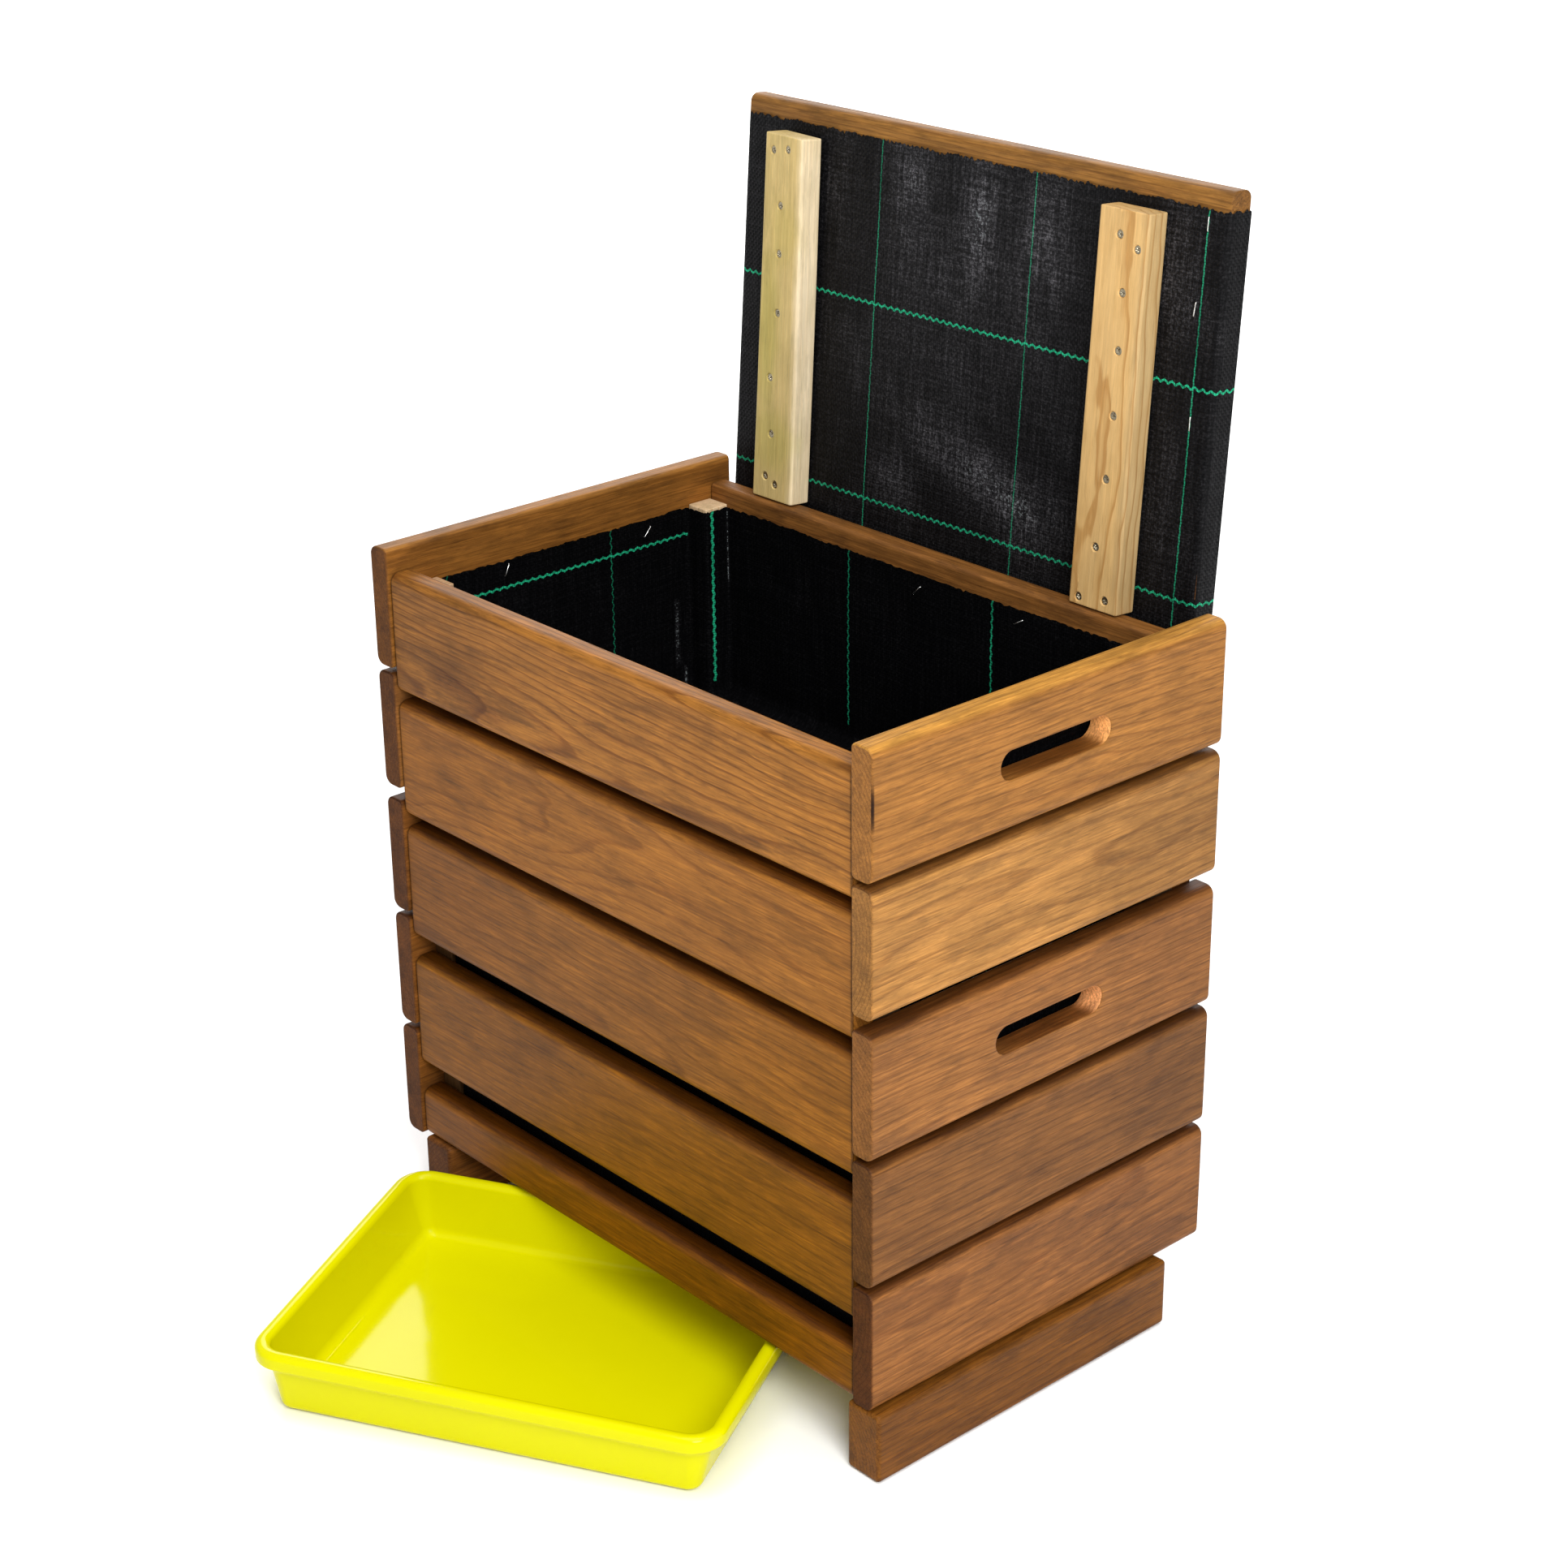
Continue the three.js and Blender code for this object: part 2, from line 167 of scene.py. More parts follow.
def timber(name, early, late, stain, ring=3.4, wander=2.6, coarse=1.0):
    """Sawn and planed pine. The attribute grain gives millimetres along the board and from
    the pith; look gives blotches, the strength of the rings and how far the ends are
    darkened; tint multiplies the colour, with painted light and shade as well as each
    piece's own tone. Ring is the width of a growth ring and wander how far the rings sway,
    in millimetres, and coarse is the strength of flecks and fibres."""
    material, tree = surface(name, early)
    early, late, stain, end_stain = map(linear, (early, late, stain, "5a2a0e"))
    grain, look, tint = (
        add(tree, "Attribute", out="Vector", attribute_name=key)
        for key in ("grain", "look", "tint")
    )
    blotches, strength, end = add(tree, "SeparateXYZ", (look,), ALL)
    # Growth rings: distance from the pith, bent by slow and quick waves along the board
    bent = grain
    sways = [((0.0026, 0.008, 0.008), 2.0, 0.5), ((0.014, 0.05, 0.05), 2.0, 0.5)]
    for wave, reach in zip(patterns(tree, grain, sways, 1), (22.0, wander)):
        inputs = (wave, (reach, reach, reach), bent)
        bent = add(tree, "VectorMath", inputs, operation="MULTIPLY_ADD")
    along, up, out = add(tree, "SeparateXYZ", (bent,), ALL)
    away = add(tree, "Math", (up, up), operation="MULTIPLY")
    away = add(tree, "Math", (out, out, away), operation="MULTIPLY_ADD")
    away = add(tree, "Math", (away,), operation="SQRT")
    radius = add(tree, "Math", (along, 0.012, away), operation="MULTIPLY_ADD")
    rings = add(tree, "Math", (radius, ring), operation="DIVIDE")
    rings = add(tree, "Math", (rings,), operation="FRACT")
    late_wood = add(tree, "ValToRGB", (rings,))
    elements = late_wood.node.color_ramp.elements
    for _ in RING_STOPS[2:]:
        elements.new(0.5)
    for element, (position, grey) in zip(elements, RING_STOPS):
        element.position = position
        element.color = (grey, grey, grey, 1.0)
    fibres, hairlines, flecks, dashes, patches, mottle, broad = patterns(
        tree,
        grain,
        [
            ((0.016, 0.9, 0.9), 3.0, 0.65),
            ((0.006, 0.45, 0.45), 4.0, 0.65, (0.52, 0.62, 0.0, 0.35 * coarse)),
            ((0.035, 0.6, 0.6), 3.0, 0.6, (0.48, 0.62, 0.0, 1.0)),
            ((0.04, 0.7, 0.7), 3.0, 0.6, (0.57, 0.66, 0.0, 1.0)),
            # Stain that took unevenly
            ((0.006, 0.026, 0.026), 6.0, 0.7, (0.5, 0.58, 0.0, 1.0)),
            ((0.03, 0.12, 0.12), 4.0, 0.7, (0.4, 0.7, 0.0, 0.34)),
            ((0.016, 0.05, 0.05), 5.0, 0.62),
        ],
    )
    rings_share = add(tree, "Math", (late_wood, strength), operation="MULTIPLY")
    inputs = (patches, blotches, mottle)
    stained_share = add(tree, "Math", inputs, operation="MULTIPLY_ADD", use_clamp=True)
    colour = early
    for share, over in ((rings_share, late), (hairlines, late), (stained_share, stain)):
        colour = add(tree, "Mix", {0: share, 6: colour, 7: over}, **COLOURS)
    light = 1.0
    for pattern, gain, drop in (
        (fibres, 1.0, 0.5),
        (flecks, 0.22, 0.08),
        (dashes, -0.26, 0.0),
        (broad, 0.9, 0.45),
    ):
        inputs = (pattern, gain * coarse, 1.0 - drop * coarse)
        tone = add(tree, "Math", inputs, operation="MULTIPLY_ADD")
        light = add(tree, "Math", (light, tone), operation="MULTIPLY")
    tint = add(tree, "VectorMath", {0: tint, "Scale": light}, operation="SCALE")
    colour = add(tree, "Mix", {0: 1.0, 6: colour, 7: tint}, **COLOURS, blend_type="MULTIPLY")
    inputs = {0: 1.0, 6: colour, 7: end_stain}
    darker = add(tree, "Mix", inputs, **COLOURS, blend_type="MULTIPLY")
    colour = add(tree, "Mix", {0: end, 6: colour, 7: darker}, **COLOURS)
    height = add(tree, "Math", (late_wood, 0.3), operation="MULTIPLY")
    height = add(tree, "Math", (fibres, 0.7, height), operation="MULTIPLY_ADD")
    height = add(tree, "Math", (dashes, -0.4, height), operation="MULTIPLY_ADD")
    rough = add(tree, "Math", (end, 0.3, 0.4), operation="MULTIPLY_ADD")
    rough = add(tree, "Math", (fibres, 0.2, rough), operation="MULTIPLY_ADD")
    looks = {"Base Color": colour, "Roughness": rough, "Specular IOR Level": 0.13}
    finished(tree, looks, (height, 0.35, 0.4))
    return material


TAPE = 2.1  # width of a woven tape, in millimetres
ZIGZAG = 7.0  # length of a marker thread's zigzag, in millimetres


def ground_cover(name, along_lines, up_lines, dust_and_shade, glance):
    """Woven black ground cover: a checker of upright and level tapes, each painted brightest
    along its middle as a painted sheen, as a sine runs from nought to one and back over a
    tape. The attribute cloth gives millimetres along and up; the third number says how
    dusty it is, and above one it paints glints where the cloth is creased, a painted
    highlight. A further number sets how much grey shows: dusty grey on the lid, and on the
    liners less grey, as painted shade inside the box. The lines are green marker threads as
    (position, half width, swing, start, stop, brightness)."""
    material, tree = surface(name, "17181b")
    cloth = add(tree, "Attribute", out="Vector", attribute_name="cloth")
    place, height, dust_and_glints = add(tree, "SeparateXYZ", (cloth,), ALL)
    (sway,) = patterns(tree, cloth, [((0.012, 0.012, 0.012), 2.0, 0.5)], 1)
    tapes = add(tree, "VectorMath", (sway, (5.0, 5.0, 0.0), cloth), operation="MULTIPLY_ADD")
    inputs = {0: tapes, "Scale": math.pi / TAPE}
    tapes = add(tree, "VectorMath", inputs, operation="SCALE")
    tapes = add(tree, "VectorMath", (tapes,), operation="SINE")
    column, row, _ = add(tree, "SeparateXYZ", (tapes,), ALL)
    over = add(tree, "Math", (column, row), operation="MULTIPLY")
    over = add(tree, "Math", (over, 0.0), operation="GREATER_THAN")
    tapes = add(tree, "VectorMath", (tapes,), operation="ABSOLUTE")
    column, row, _ = add(tree, "SeparateXYZ", (tapes,), ALL)
    weave = add(tree, "Mix", {0: over, 2: row, 3: column})
    streaks, upright, broken, dusty, faint, fleck = patterns(
        tree,
        cloth,
        [
            ((0.35, 0.02, 0.02), 3.0, 0.6, (0.35, 0.75, 0.12, 0.72)),
            ((0.02, 0.35, 0.02), 3.0, 0.6, (0.35, 0.75, 0.0, 0.4)),
            ((0.35, 0.02, 0.02), 3.0, 0.6, (0.3, 0.6, 0.4, 1.0)),
            ((0.02, 0.012, 0.02), 4.0, 0.65, (0.25, 0.7, 0.35, 1.3)),
            ((0.02, 0.012, 0.02), 4.0, 0.65, (0.5, 0.8, 0.0, 0.18)),
            ((0.42, 0.42, 0.42), 2.0, 0.8, (0.4, 0.68, 0.3, 1.7)),
        ],
    )
    dusty = add(tree, "Math", (dust_and_glints, dusty, faint), operation="MULTIPLY_ADD")
    grey = add(tree, "Math", (streaks, upright), operation="ADD")
    # Share of grey: less of it on the liners as painted shade; the weave brightens each tape
    # along its middle as a painted sheen
    for value, gain, start in ((fleck, dust_and_shade, 0.0), (dusty, 0.75, 0.1), (weave, 0.8, 0.35)):
        tone = add(tree, "Math", (value, gain, start), operation="MULTIPLY_ADD")
        grey = add(tree, "Math", (grey, tone), operation="MULTIPLY")
    # Above one, the third number paints pale grey glints where the cloth is creased: a painted
    # highlight
    crease = add(tree, "Math", (dust_and_glints, fleck), operation="MULTIPLY")
    crease = add(tree, "MapRange", (crease, 1.2, 2.4, 0.0, 1.0), **SMOOTH)
    mask = 0.0
    for lines, across, running in ((along_lines, place, height), (up_lines, height, place)):
        for position, half, swing, start, stop, bright in lines:
            # A thread zigzags about its line, and ends at its start and its stop
            turn = add(tree, "Math", (running, ZIGZAG / 2), operation="PINGPONG")
            inputs = (turn, 4 * swing / ZIGZAG, position - swing)
            middle = add(tree, "Math", inputs, operation="MULTIPLY_ADD")
            off = add(tree, "Math", (across, middle), operation="SUBTRACT")
            off = add(tree, "Math", (off,), operation="ABSOLUTE")
            drawn = add(tree, "MapRange", (off, half, half + 0.35, bright, 0.0), **SMOOTH)
            for side, end in (("GREATER_THAN", start), ("LESS_THAN", stop)):
                within = add(tree, "Math", (running, end), operation=side)
                drawn = add(tree, "Math", (drawn, within), operation="MULTIPLY")
            mask = add(tree, "Math", (mask, drawn), operation="MAXIMUM")
    broken = add(tree, "Math", (broken, weave), operation="MULTIPLY")
    inputs = {0: broken, 6: linear("0a4a34"), 7: linear("2cc490")}
    green = add(tree, "Mix", inputs, **COLOURS)
    colour = linear("040405")
    for share, over in ((grey, linear("6c6a6e")), (crease, linear("8c9696")), (mask, green)):
        colour = add(tree, "Mix", {0: share, 6: colour, 7: over}, **COLOURS)
    looks = {"Base Color": colour, "Roughness": 0.5, "Specular IOR Level": glance}
    finished(tree, looks, (weave, 0.5, 0.5))
    return material


def moulded(name, colour):
    """Glossy moulded plastic. The attribute flow gives millimetres: the surface waves a
    little, and fine scuffs dull it."""
    material, tree = surface(name, colour)
    flow = add(tree, "Attribute", out="Vector", attribute_name="flow")
    scuffs = ((0.35, 0.03, 0.35), 4.0, 0.7, (0.6, 0.72, 0.09, 0.17))
    cloud, rough = patterns(tree, flow, [((0.012, 0.012, 0.012), 3.0, 0.5), scuffs])
    tone = add(tree, "Math", (cloud, 0.06, 0.97), operation="MULTIPLY_ADD")
    inputs = {0: linear(colour)[:3], "Scale": tone}
    colour = add(tree, "VectorMath", inputs, operation="SCALE")
    looks = {"Base Color": colour, "Roughness": rough, "Specular IOR Level": 0.12}
    finished(tree, looks, (cloud, 0.25, 1.2))
    return material


def plated(name, colour, roughness):
    """Plated steel. The attribute flow gives millimetres; the plating is a little cloudy."""
    material, tree = surface(name, colour)
    flow = add(tree, "Attribute", out="Vector", attribute_name="flow")
    (cloud,) = patterns(tree, flow, [((0.9, 0.9, 0.9), 3.0, 0.6)])
    tone = add(tree, "Math", (cloud, 0.5, 0.75), operation="MULTIPLY_ADD")
    inputs = {0: linear(colour)[:3], "Scale": tone}
    colour = add(tree, "VectorMath", inputs, operation="SCALE")
    rough = add(tree, "Math", (cloud, 0.3, roughness - 0.15), operation="MULTIPLY_ADD")
    finished(tree, {"Base Color": colour, "Roughness": rough, "Metallic": 1.0})
    return material


# Planed pine stained with brown wood oil: warm, with a low sheen, dark late wood and blotches
# where it took unevenly
stained = timber("oiled pine", "b97f42", "7d4c22", "6f4a2b")
# Planed pine left bare: pale and dry, with soft rings
bare = timber("bare pine", "e2c286", "c79a58", "b39a62", 4.2, 2.6, 0.4)
# The same, cut where the grain swirls round a branch, so its rings are wide and sway far
swirled = timber("bare pine with swirling grain", "e0bf86", "b3854a", "c9a468", 7.0, 11.0, 0.35)
# Black woven polypropylene with green marker threads: dull, dusty and a little shiny on its
# tapes
lid_cloth = ground_cover(
    "ground cover of the lid",
    [
        (-250.0, 0.35, 0.3, -20, 400, 0.35),
        (-92.0, 0.4, 0.3, -20, 400, 0.45),
        (66.0, 0.4, 0.3, -20, 400, 0.4),
        (226.0, 0.45, 0.3, -20, 400, 0.5),
    ],
    [(183.0, 0.75, 1.1, -400, 400, 0.95), (31.3, 0.75, 1.1, -400, 400, 0.8)],
    0.9,
    0.07,
)
# Lime polypropylene, injection moulded: an even glossy skin with fine scuffs
lime = moulded("lime polypropylene", "d6d200")
# Zinc-plated steel of the screws: cloudy and yellowish
zinc = plated("zinc plated steel", "a59c86", 0.35)
# Galvanised wire of the staples: bright and nearly white
wire_zinc = plated("galvanised wire", "e6e6e2", 0.3)


# Pieces


def make(name, body, vertices, faces, material, attributes, flat_faces=()):
    """Mesh object from points in millimetres, riding on a body."""
    mesh = bpy.data.meshes.new(name)
    points = np.asarray(vertices, float) * MM
    mesh.from_pydata(points.tolist(), [], faces)
    mesh.update()
    for key, values in attributes.items():
        values = np.asarray(values, np.float32)
        domain = "POINT" if len(values) == len(points) else "CORNER"
        layer = mesh.attributes.new(key, "FLOAT_VECTOR", domain)
        layer.data.foreach_set("vector", values.ravel())
    smooth = np.ones(len(mesh.polygons), bool)
    smooth[list(flat_faces)] = False
    mesh.polygons.foreach_set("use_smooth", smooth)
    mesh.materials.append(material)
    piece = bpy.data.objects.new(name, mesh)
    bpy.context.scene.collection.objects.link(piece)
    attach(piece, body)
    return piece


def seeded(name):
    """Random numbers that depend on the name alone."""
    return np.random.default_rng(zlib.crc32(name.encode()))


def waves(rng, points, size, strength, count=6):
    """Sum of plane waves of about that size, from -strength to strength."""
    total = np.zeros(len(points))
    for _ in range(count):
        direction = rng.normal(size=points.shape[1])
        direction /= np.linalg.norm(direction)
        turns = points @ direction / (size * rng.uniform(0.6, 1.6))
        total += np.sin(2 * math.pi * (turns + rng.uniform()))
    return total * strength / count


def unit(degrees):
    """Unit vectors at angles in degrees."""
    angles = np.radians(degrees)
    return np.stack([np.cos(angles), np.sin(angles)], -1)


hinge = Vector(joints["lid_swing"]["pos_m"])
lid_place = Matrix.Translation(hinge) @ Matrix.Rotation(math.radians(-LID_LEAN), 4, "X")


def vertices_of(mesh):
    """Vertices of a mesh as an array."""
    points = np.empty(len(mesh.vertices) * 3, np.float32)
    mesh.vertices.foreach_get("co", points)
    return points.reshape(-1, 3).astype(float)


def own_box(name):
    """(matrix, lowest, highest) of a bar node in its own upright frame, in millimetres."""
    place = lid_place if body_of[name] == "lid" else Matrix.Identity(4)
    back = np.array(place.inverted())
    points = (vertices_of(nodes[name].data) @ back[:3, :3].T + back[:3, 3]) / MM
    return place, points.min(0), points.max(0)


def placed(place, points):
    """Points in millimetres moved by a matrix that is in metres."""
    matrix = np.array(place)
    return np.asarray(points) @ matrix[:3, :3].T + matrix[:3, 3] / MM


def spaced(low, high, step):
    """Even positions from low to high, about a step apart."""
    return np.linspace(low, high, max(1, round((high - low) / step)) + 1)


def quads(index, closed=True):
    """Faces between neighbours in a table of point numbers, row by row."""
    if closed:
        index = np.column_stack([index, index[:, 0]])
    near, far = index[:-1], index[1:]
    corners = [near[:, :-1], near[:, 1:], far[:, 1:], far[:, :-1]]
    return np.stack(corners, -1).reshape(-1, 4).tolist()


def grid_faces(rows, columns, closed=True):
    """Faces of a grid whose points go row by row."""
    return quads(np.arange(rows * columns).reshape(rows, columns), closed)


def caps(rows, columns):
    """Faces that close a tube's first and last ring."""
    last = (rows - 1) * columns
    return [list(range(columns))[::-1], list(range(last, last + columns))]


def section(across, through, easings, step):
    """Loop round a bar's section: base points, outward normals, and where each flat starts.
    A point of an arc is its centre plus the easing times the normal. The easings are for the
    upper and the lower side of the third axis. Each arc has seven segments, with a support
    point beside it on the flats."""
    points, normals, starts = [], [], []
    for quarter in range(4):
        easing = easings[quarter // 2]
        corner = np.sign(unit(quarter * 90 + 45))
        arc = unit(np.linspace(quarter * 90, quarter * 90 + 90, 8))
        points.append(corner * (across / 2 - easing, through / 2 - easing) + easing * arc)
        normals.append(arc)
        starts.append(sum(map(len, points)) - 1)
        length = (across - 2 * easing) if quarter in (0, 2) else (through - sum(easings))
        if length < 0.5:
            continue
        support = min(0.8, length / 4)
        distances = spaced(support, length - support, step)[:, None]
        points.append(points[-1][-1] + distances * (-arc[-1][1], arc[-1][0]))
        normals.append(np.tile(arc[-1], (len(distances), 1)))
    return np.concatenate(points), np.concatenate(normals), starts


def bar_shape(length, across, through, easings, end_easing, step, slot_size=None):
    """Rounded bar about zero as (points, faces, flat faces). Columns of the points are
    along, across and through: each ring is the section, drawn in by the end's easing. A
    slot, as (length, height), goes through the middle."""
    base, normal, starts = section(across, through, easings, step)
    drawn_in, rise = end_easing * (1 - unit(np.linspace(90, 0, 5)).T)
    ends = length / 2 - rise
    inner = length / 2 - end_easing
    if slot_size:
        patch = slot_size[0] / 2 + 16
        before = spaced(-inner + 1, -patch, step)[:-1]
        beside = spaced(-patch, patch, step / 2)[:-1]
        middle = np.concatenate([before, beside, spaced(patch, inner - 1, step)])
    else:
        middle = spaced(-inner + 1, inner - 1, step)
    along = np.concatenate([-ends, middle, ends[::-1]])
    inset = np.concatenate([drawn_in, np.zeros(len(middle)), drawn_in[::-1]])
    rings, count = len(along), len(base)
    sections = base - inset[:, None, None] * normal
    points = np.column_stack([np.repeat(along, count), sections.reshape(-1, 2)])
    keep = np.ones((rings - 1, count), bool)
    if slot_size:
        first = len(ends) + int(np.argmin(np.abs(middle + patch)))
        last = len(ends) + int(np.argmin(np.abs(middle - patch)))
        windows = [(starts[quarter], starts[quarter + 1] - 8) for quarter in (0, 2)]
        for low, high in windows:
            keep[first:last, low:high] = False
    sides = np.array(grid_faces(rings, count))[keep.ravel()]
    foot, top = caps(rings, count)
    faces = [foot, *sides.tolist(), top]
    flat_faces = [0, len(faces) - 1]
    if slot_size:
        points, more = slot_faces(points, windows, first, last, count, slot_size, through)
        faces += more
    return points, faces, flat_faces


def slot_faces(points, windows, first, last, count, slot_size, through):
    """Points and faces with the openings in both wide faces joined through a slot with eased
    rims. The slot's wall is where the distance from its middle line is half its height."""
    (low, high), (far_low, _) = windows
    # Round the near window, in the order of its faces: the rings, and the places in them
    up, over = np.arange(low, high), np.arange(first, last)
    ring = np.concatenate([first + 0 * up, over, last + 0 * up, over[::-1] + 1])
    spot = np.concatenate([up, high + 0 * over, up[::-1] + 1, low + 0 * over])
    edge, far_edge = ring * count + spot, ring * count + far_low + high - spot
    straight = (slot_size[0] - slot_size[1]) / 2
    radius, ease, face = slot_size[1] / 2, 0.9, through / 2
    corner = points[edge, :2]
    centre = np.column_stack([np.clip(corner[:, 0], -straight, straight), 0 * corner[:, 0]])
    ray = corner - centre
    reach = np.linalg.norm(ray, axis=1)
    # (distance from the middle line, level) of the rows from the face to half way through
    walls = [(reach + (radius + ease - reach) * share, face) for share in (0.45, 0.8)]
    for turn in np.radians([0, 30, 60, 90]):
        walls.append((radius + ease * (1 - math.sin(turn)), face - ease * (1 - math.cos(turn))))
    walls += [(radius, face * 0.4), (radius, 0.0)]
    walls += [(distance, -level) for distance, level in walls[-2::-1]]
    rows = []
    for distance, level in walls:
        spots = centre + ray * (distance / reach)[:, None]
        rows.append(np.column_stack([spots, np.full(len(edge), level)]))
    new = len(points) + np.arange(len(rows) * len(edge)).reshape(len(rows), -1)
    return np.concatenate([points, *rows]), quads(np.vstack([edge, new, far_edge]))


# Where a piece is paler or darker: place along, across and through, reach along, across
# and through, and what the colour is multiplied by
SLOT_MARKS = [
    (54, 0, 0, 12, 13, 9.3, (4.0, 4.6, 7.4)),
    # Painted shade on the slot's lower face
    (0, -11.5, 0, 50, 3, 9.3, (0.6, 0.5, 0.45)),
]
SPLIT = (-168.9, 6.8, 10, 1.4, 16, 3, (0.07, 0.05, 0.05))
MARKS = {
    "upper_right_board_1": [*SLOT_MARKS, SPLIT, (160, 0, 0, 110, 90, 9.9, (0.84, 0.84, 0.84))],
    "upper_right_board_2": [(150, 0, 0, 120, 90, 20, (0.72, 0.71, 0.72))],
    "lower_right_board_1": [*SLOT_MARKS, (160, 0, 0, 110, 90, 20, (0.82, 0.8, 0.8))],
    "lower_right_board_2": [(160, 0, 0, 110, 90, 20, (0.86, 0.86, 0.86))],
    "lower_right_board_3": [(160, 0, 0, 110, 90, 20, (0.86, 0.85, 0.84))],
    "upper_front_board_1": [
        (-245, 0, 0, 120, 90, 20, (0.78, 0.77, 0.74)),
        (-182, -20, 10, 30, 10, 6, (0.68, 0.63, 0.66)),
        (-140, -31, 10, 26, 8, 6, (0.72, 0.66, 0.68)),
        (230, 0, 0, 110, 90, 20, (1.12, 1.12, 1.05)),
    ],
    "upper_front_board_2": [(-245, 0, 0, 130, 90, 20, (0.82, 0.79, 0.7))],
    "lower_front_board_1": [
        (-245, 0, 0, 130, 90, 20, (0.84, 0.8, 0.72)),
        (230, 0, 0, 110, 90, 20, (1.12, 1.1, 0.85)),
    ],
    "lid_batten_left": [
        # Painted light on the left batten's right side face
        (0, 28, 0, 400, 8.0, 40, (1.46, 1.63, 2.76)),
        (-10, -12, -20, 60, 14, 20, (0.8, 0.86, 0.62)),
        (-95, -2, -20, 26, 26, 20, (0.85, 0.9, 0.7)),
        (70, 4, -20, 26, 18, 20, (0.93, 0.95, 0.8)),
    ],
    # Painted shade on the right side face of the right batten
    "lid_batten_right": [(0, 26, 0, 400, 7.0, 40, (0.75, 0.81, 0.94))],
}
# What a top edge's colour is multiplied by where it doesn't get the painted shade: a
# painted highlight on the top side boards, nothing on the top front and back boards
PAINTED_TOP_LIGHT = {
    "upper_right_board_1": (1.6, 1.8, 1.6),
    "upper_left_board_1": (1.18, 1.29, 1.45),
    "upper_back_board_1": (1.0, 1.0, 1.0),
    "upper_front_board_1": (1.0, 1.0, 1.0),
}
# Painted shade on the top edges of the other boards, under the board above
PAINTED_TOP_SHADE = (0.42, 0.36, 0.3)
POST_SHADE = 55  # how far up the posts of the upper tray stand in the lower body's shade


def shaded(name, points, size, tint):
    """Colour factors of a bar's points: its tint; painted shade on its top edge under the board
    above, or a painted highlight on some top boards; painted shade at the foot of the upper
    posts and in the seams at the ends of the front boards; and its marks, each of which fades
    as exp(-(distance / reach)^4)."""
    factors = np.tile(np.array(tint, float), (len(points), 1))
    # Painted shade on the top edge under the board above, or a painted highlight
    if "_board_" in name and not name.startswith("lid"):
        top = np.clip((points[:, 1] - size[1] / 2 + 4) / 2.5, 0, 1)[:, None]
        factors *= 1 - top * (1 - np.array(PAINTED_TOP_LIGHT.get(name, PAINTED_TOP_SHADE)))
    if name.startswith("upper_post"):
        above = points[:, 0] + size[0] / 2
        factors *= 1 - 0.9 * np.clip((POST_SHADE - above) / 6, 0, 1)[:, None]
    # Painted shade in the seams where the front boards' ends meet the side boards
    if "_front_board_" in name:
        seam_shade = np.clip((np.abs(points[:, 0]) - size[0] / 2 + 2.4) / 1.6, 0, 1)[:, None]
        factors *= 1 - 0.65 * seam_shade
    rng = seeded("marks " + name)
    for mark in MARKS.get(name, []):
        middle, reach, colour = np.array(mark[:3]), np.array(mark[3:6]), np.array(mark[6])
        off = np.abs(points - middle) / reach
        away = np.hypot(off[:, 0], off[:, 1]) * (1 + 0.2 * waves(rng, points, 18.0, 1.0))
        share = (np.exp(-(away**4)) * (off[:, 2] <= 1))[:, None]
        factors *= 1 - share + share * colour
    return factors


def dress(name, material, slot_name, frame_of, points, faces, flat_faces, board, shape=None):
    """Piece in place of a CAD bar, from points in the bar's own frame: along, across and
    through. The board gives its look (blotches, rings, darker ends), pith and tint; shape
    moves the finished points. Faces are drawn in by waves a fraction of a millimetre deep."""
    place, axes, middle, size = frame_of
    look, pith, tint = board
    rng = seeded(name)
    grain = points + np.array([rng.uniform(-4000, 4000), *pith])
    depth = np.clip(0.12 + 0.12 * waves(rng, points, 90.0, 1.0), 0, None)
    inward = np.clip(points / (size / 2), -1, 1)
    sides = np.array([len(face) for face in faces])
    corners = np.concatenate(faces)
    # A face is an end as far as its normal, from three of its corners, runs along the bar
    first = np.cumsum(sides) - sides
    spots = points[corners[first + sides * np.arange(3)[:, None] // 3]]
    cross = np.cross(spots[1] - spots[0], spots[2] - spots[0])
    end = look[2] * np.abs(cross[:, 0]) / np.maximum(np.linalg.norm(cross, axis=1), 1e-9)
    tints = shaded(name, points, size, tint)[corners]
    if len(flat_faces) == 2:
        tints[np.repeat(np.isin(np.arange(len(faces)), flat_faces), sides)] = tint
    points = points - inward**7 * depth[:, None]
    if shape:
        points = shape(points)
    looks = np.column_stack([np.tile(look[:2], (len(corners), 1)), np.repeat(end, sides)])
    attributes = {"grain": grain[corners], "look": looks, "tint": tints}
    world = placed(place, points @ axes + middle)
    body = body_of[name]
    piece = make(name + "_wood", body, world, faces, material, attributes, flat_faces)
    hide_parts(name)


def own_frame(name):
    """(matrix, axes along, across and through, middle, size) of a bar node."""
    place, low, high = own_box(name)
    size = high - low
    order = np.argsort(-size, kind="stable")
    axes = np.eye(3)[order]
    if np.linalg.det(axes) < 0:
        axes[2] = -axes[2]
    return place, axes, (low + high) / 2, size[order]


def bar(name, material, slot_name, easings, end_easing, board, slot_size=None, step=7.0):
    """Fine rounded bar in place of a CAD bar. The easings are for the upper and the lower
    side of the third axis."""
    frame_of = own_frame(name)
    length, across, through = frame_of[3]
    easings = [min(easing, through / 2 - 0.4) for easing in easings]
    end_easing = min(end_easing, min(easings) - 0.1)
    shape = bar_shape(length, across, through, easings, end_easing, step, slot_size)
    dress(name, material, slot_name, frame_of, *shape, board)
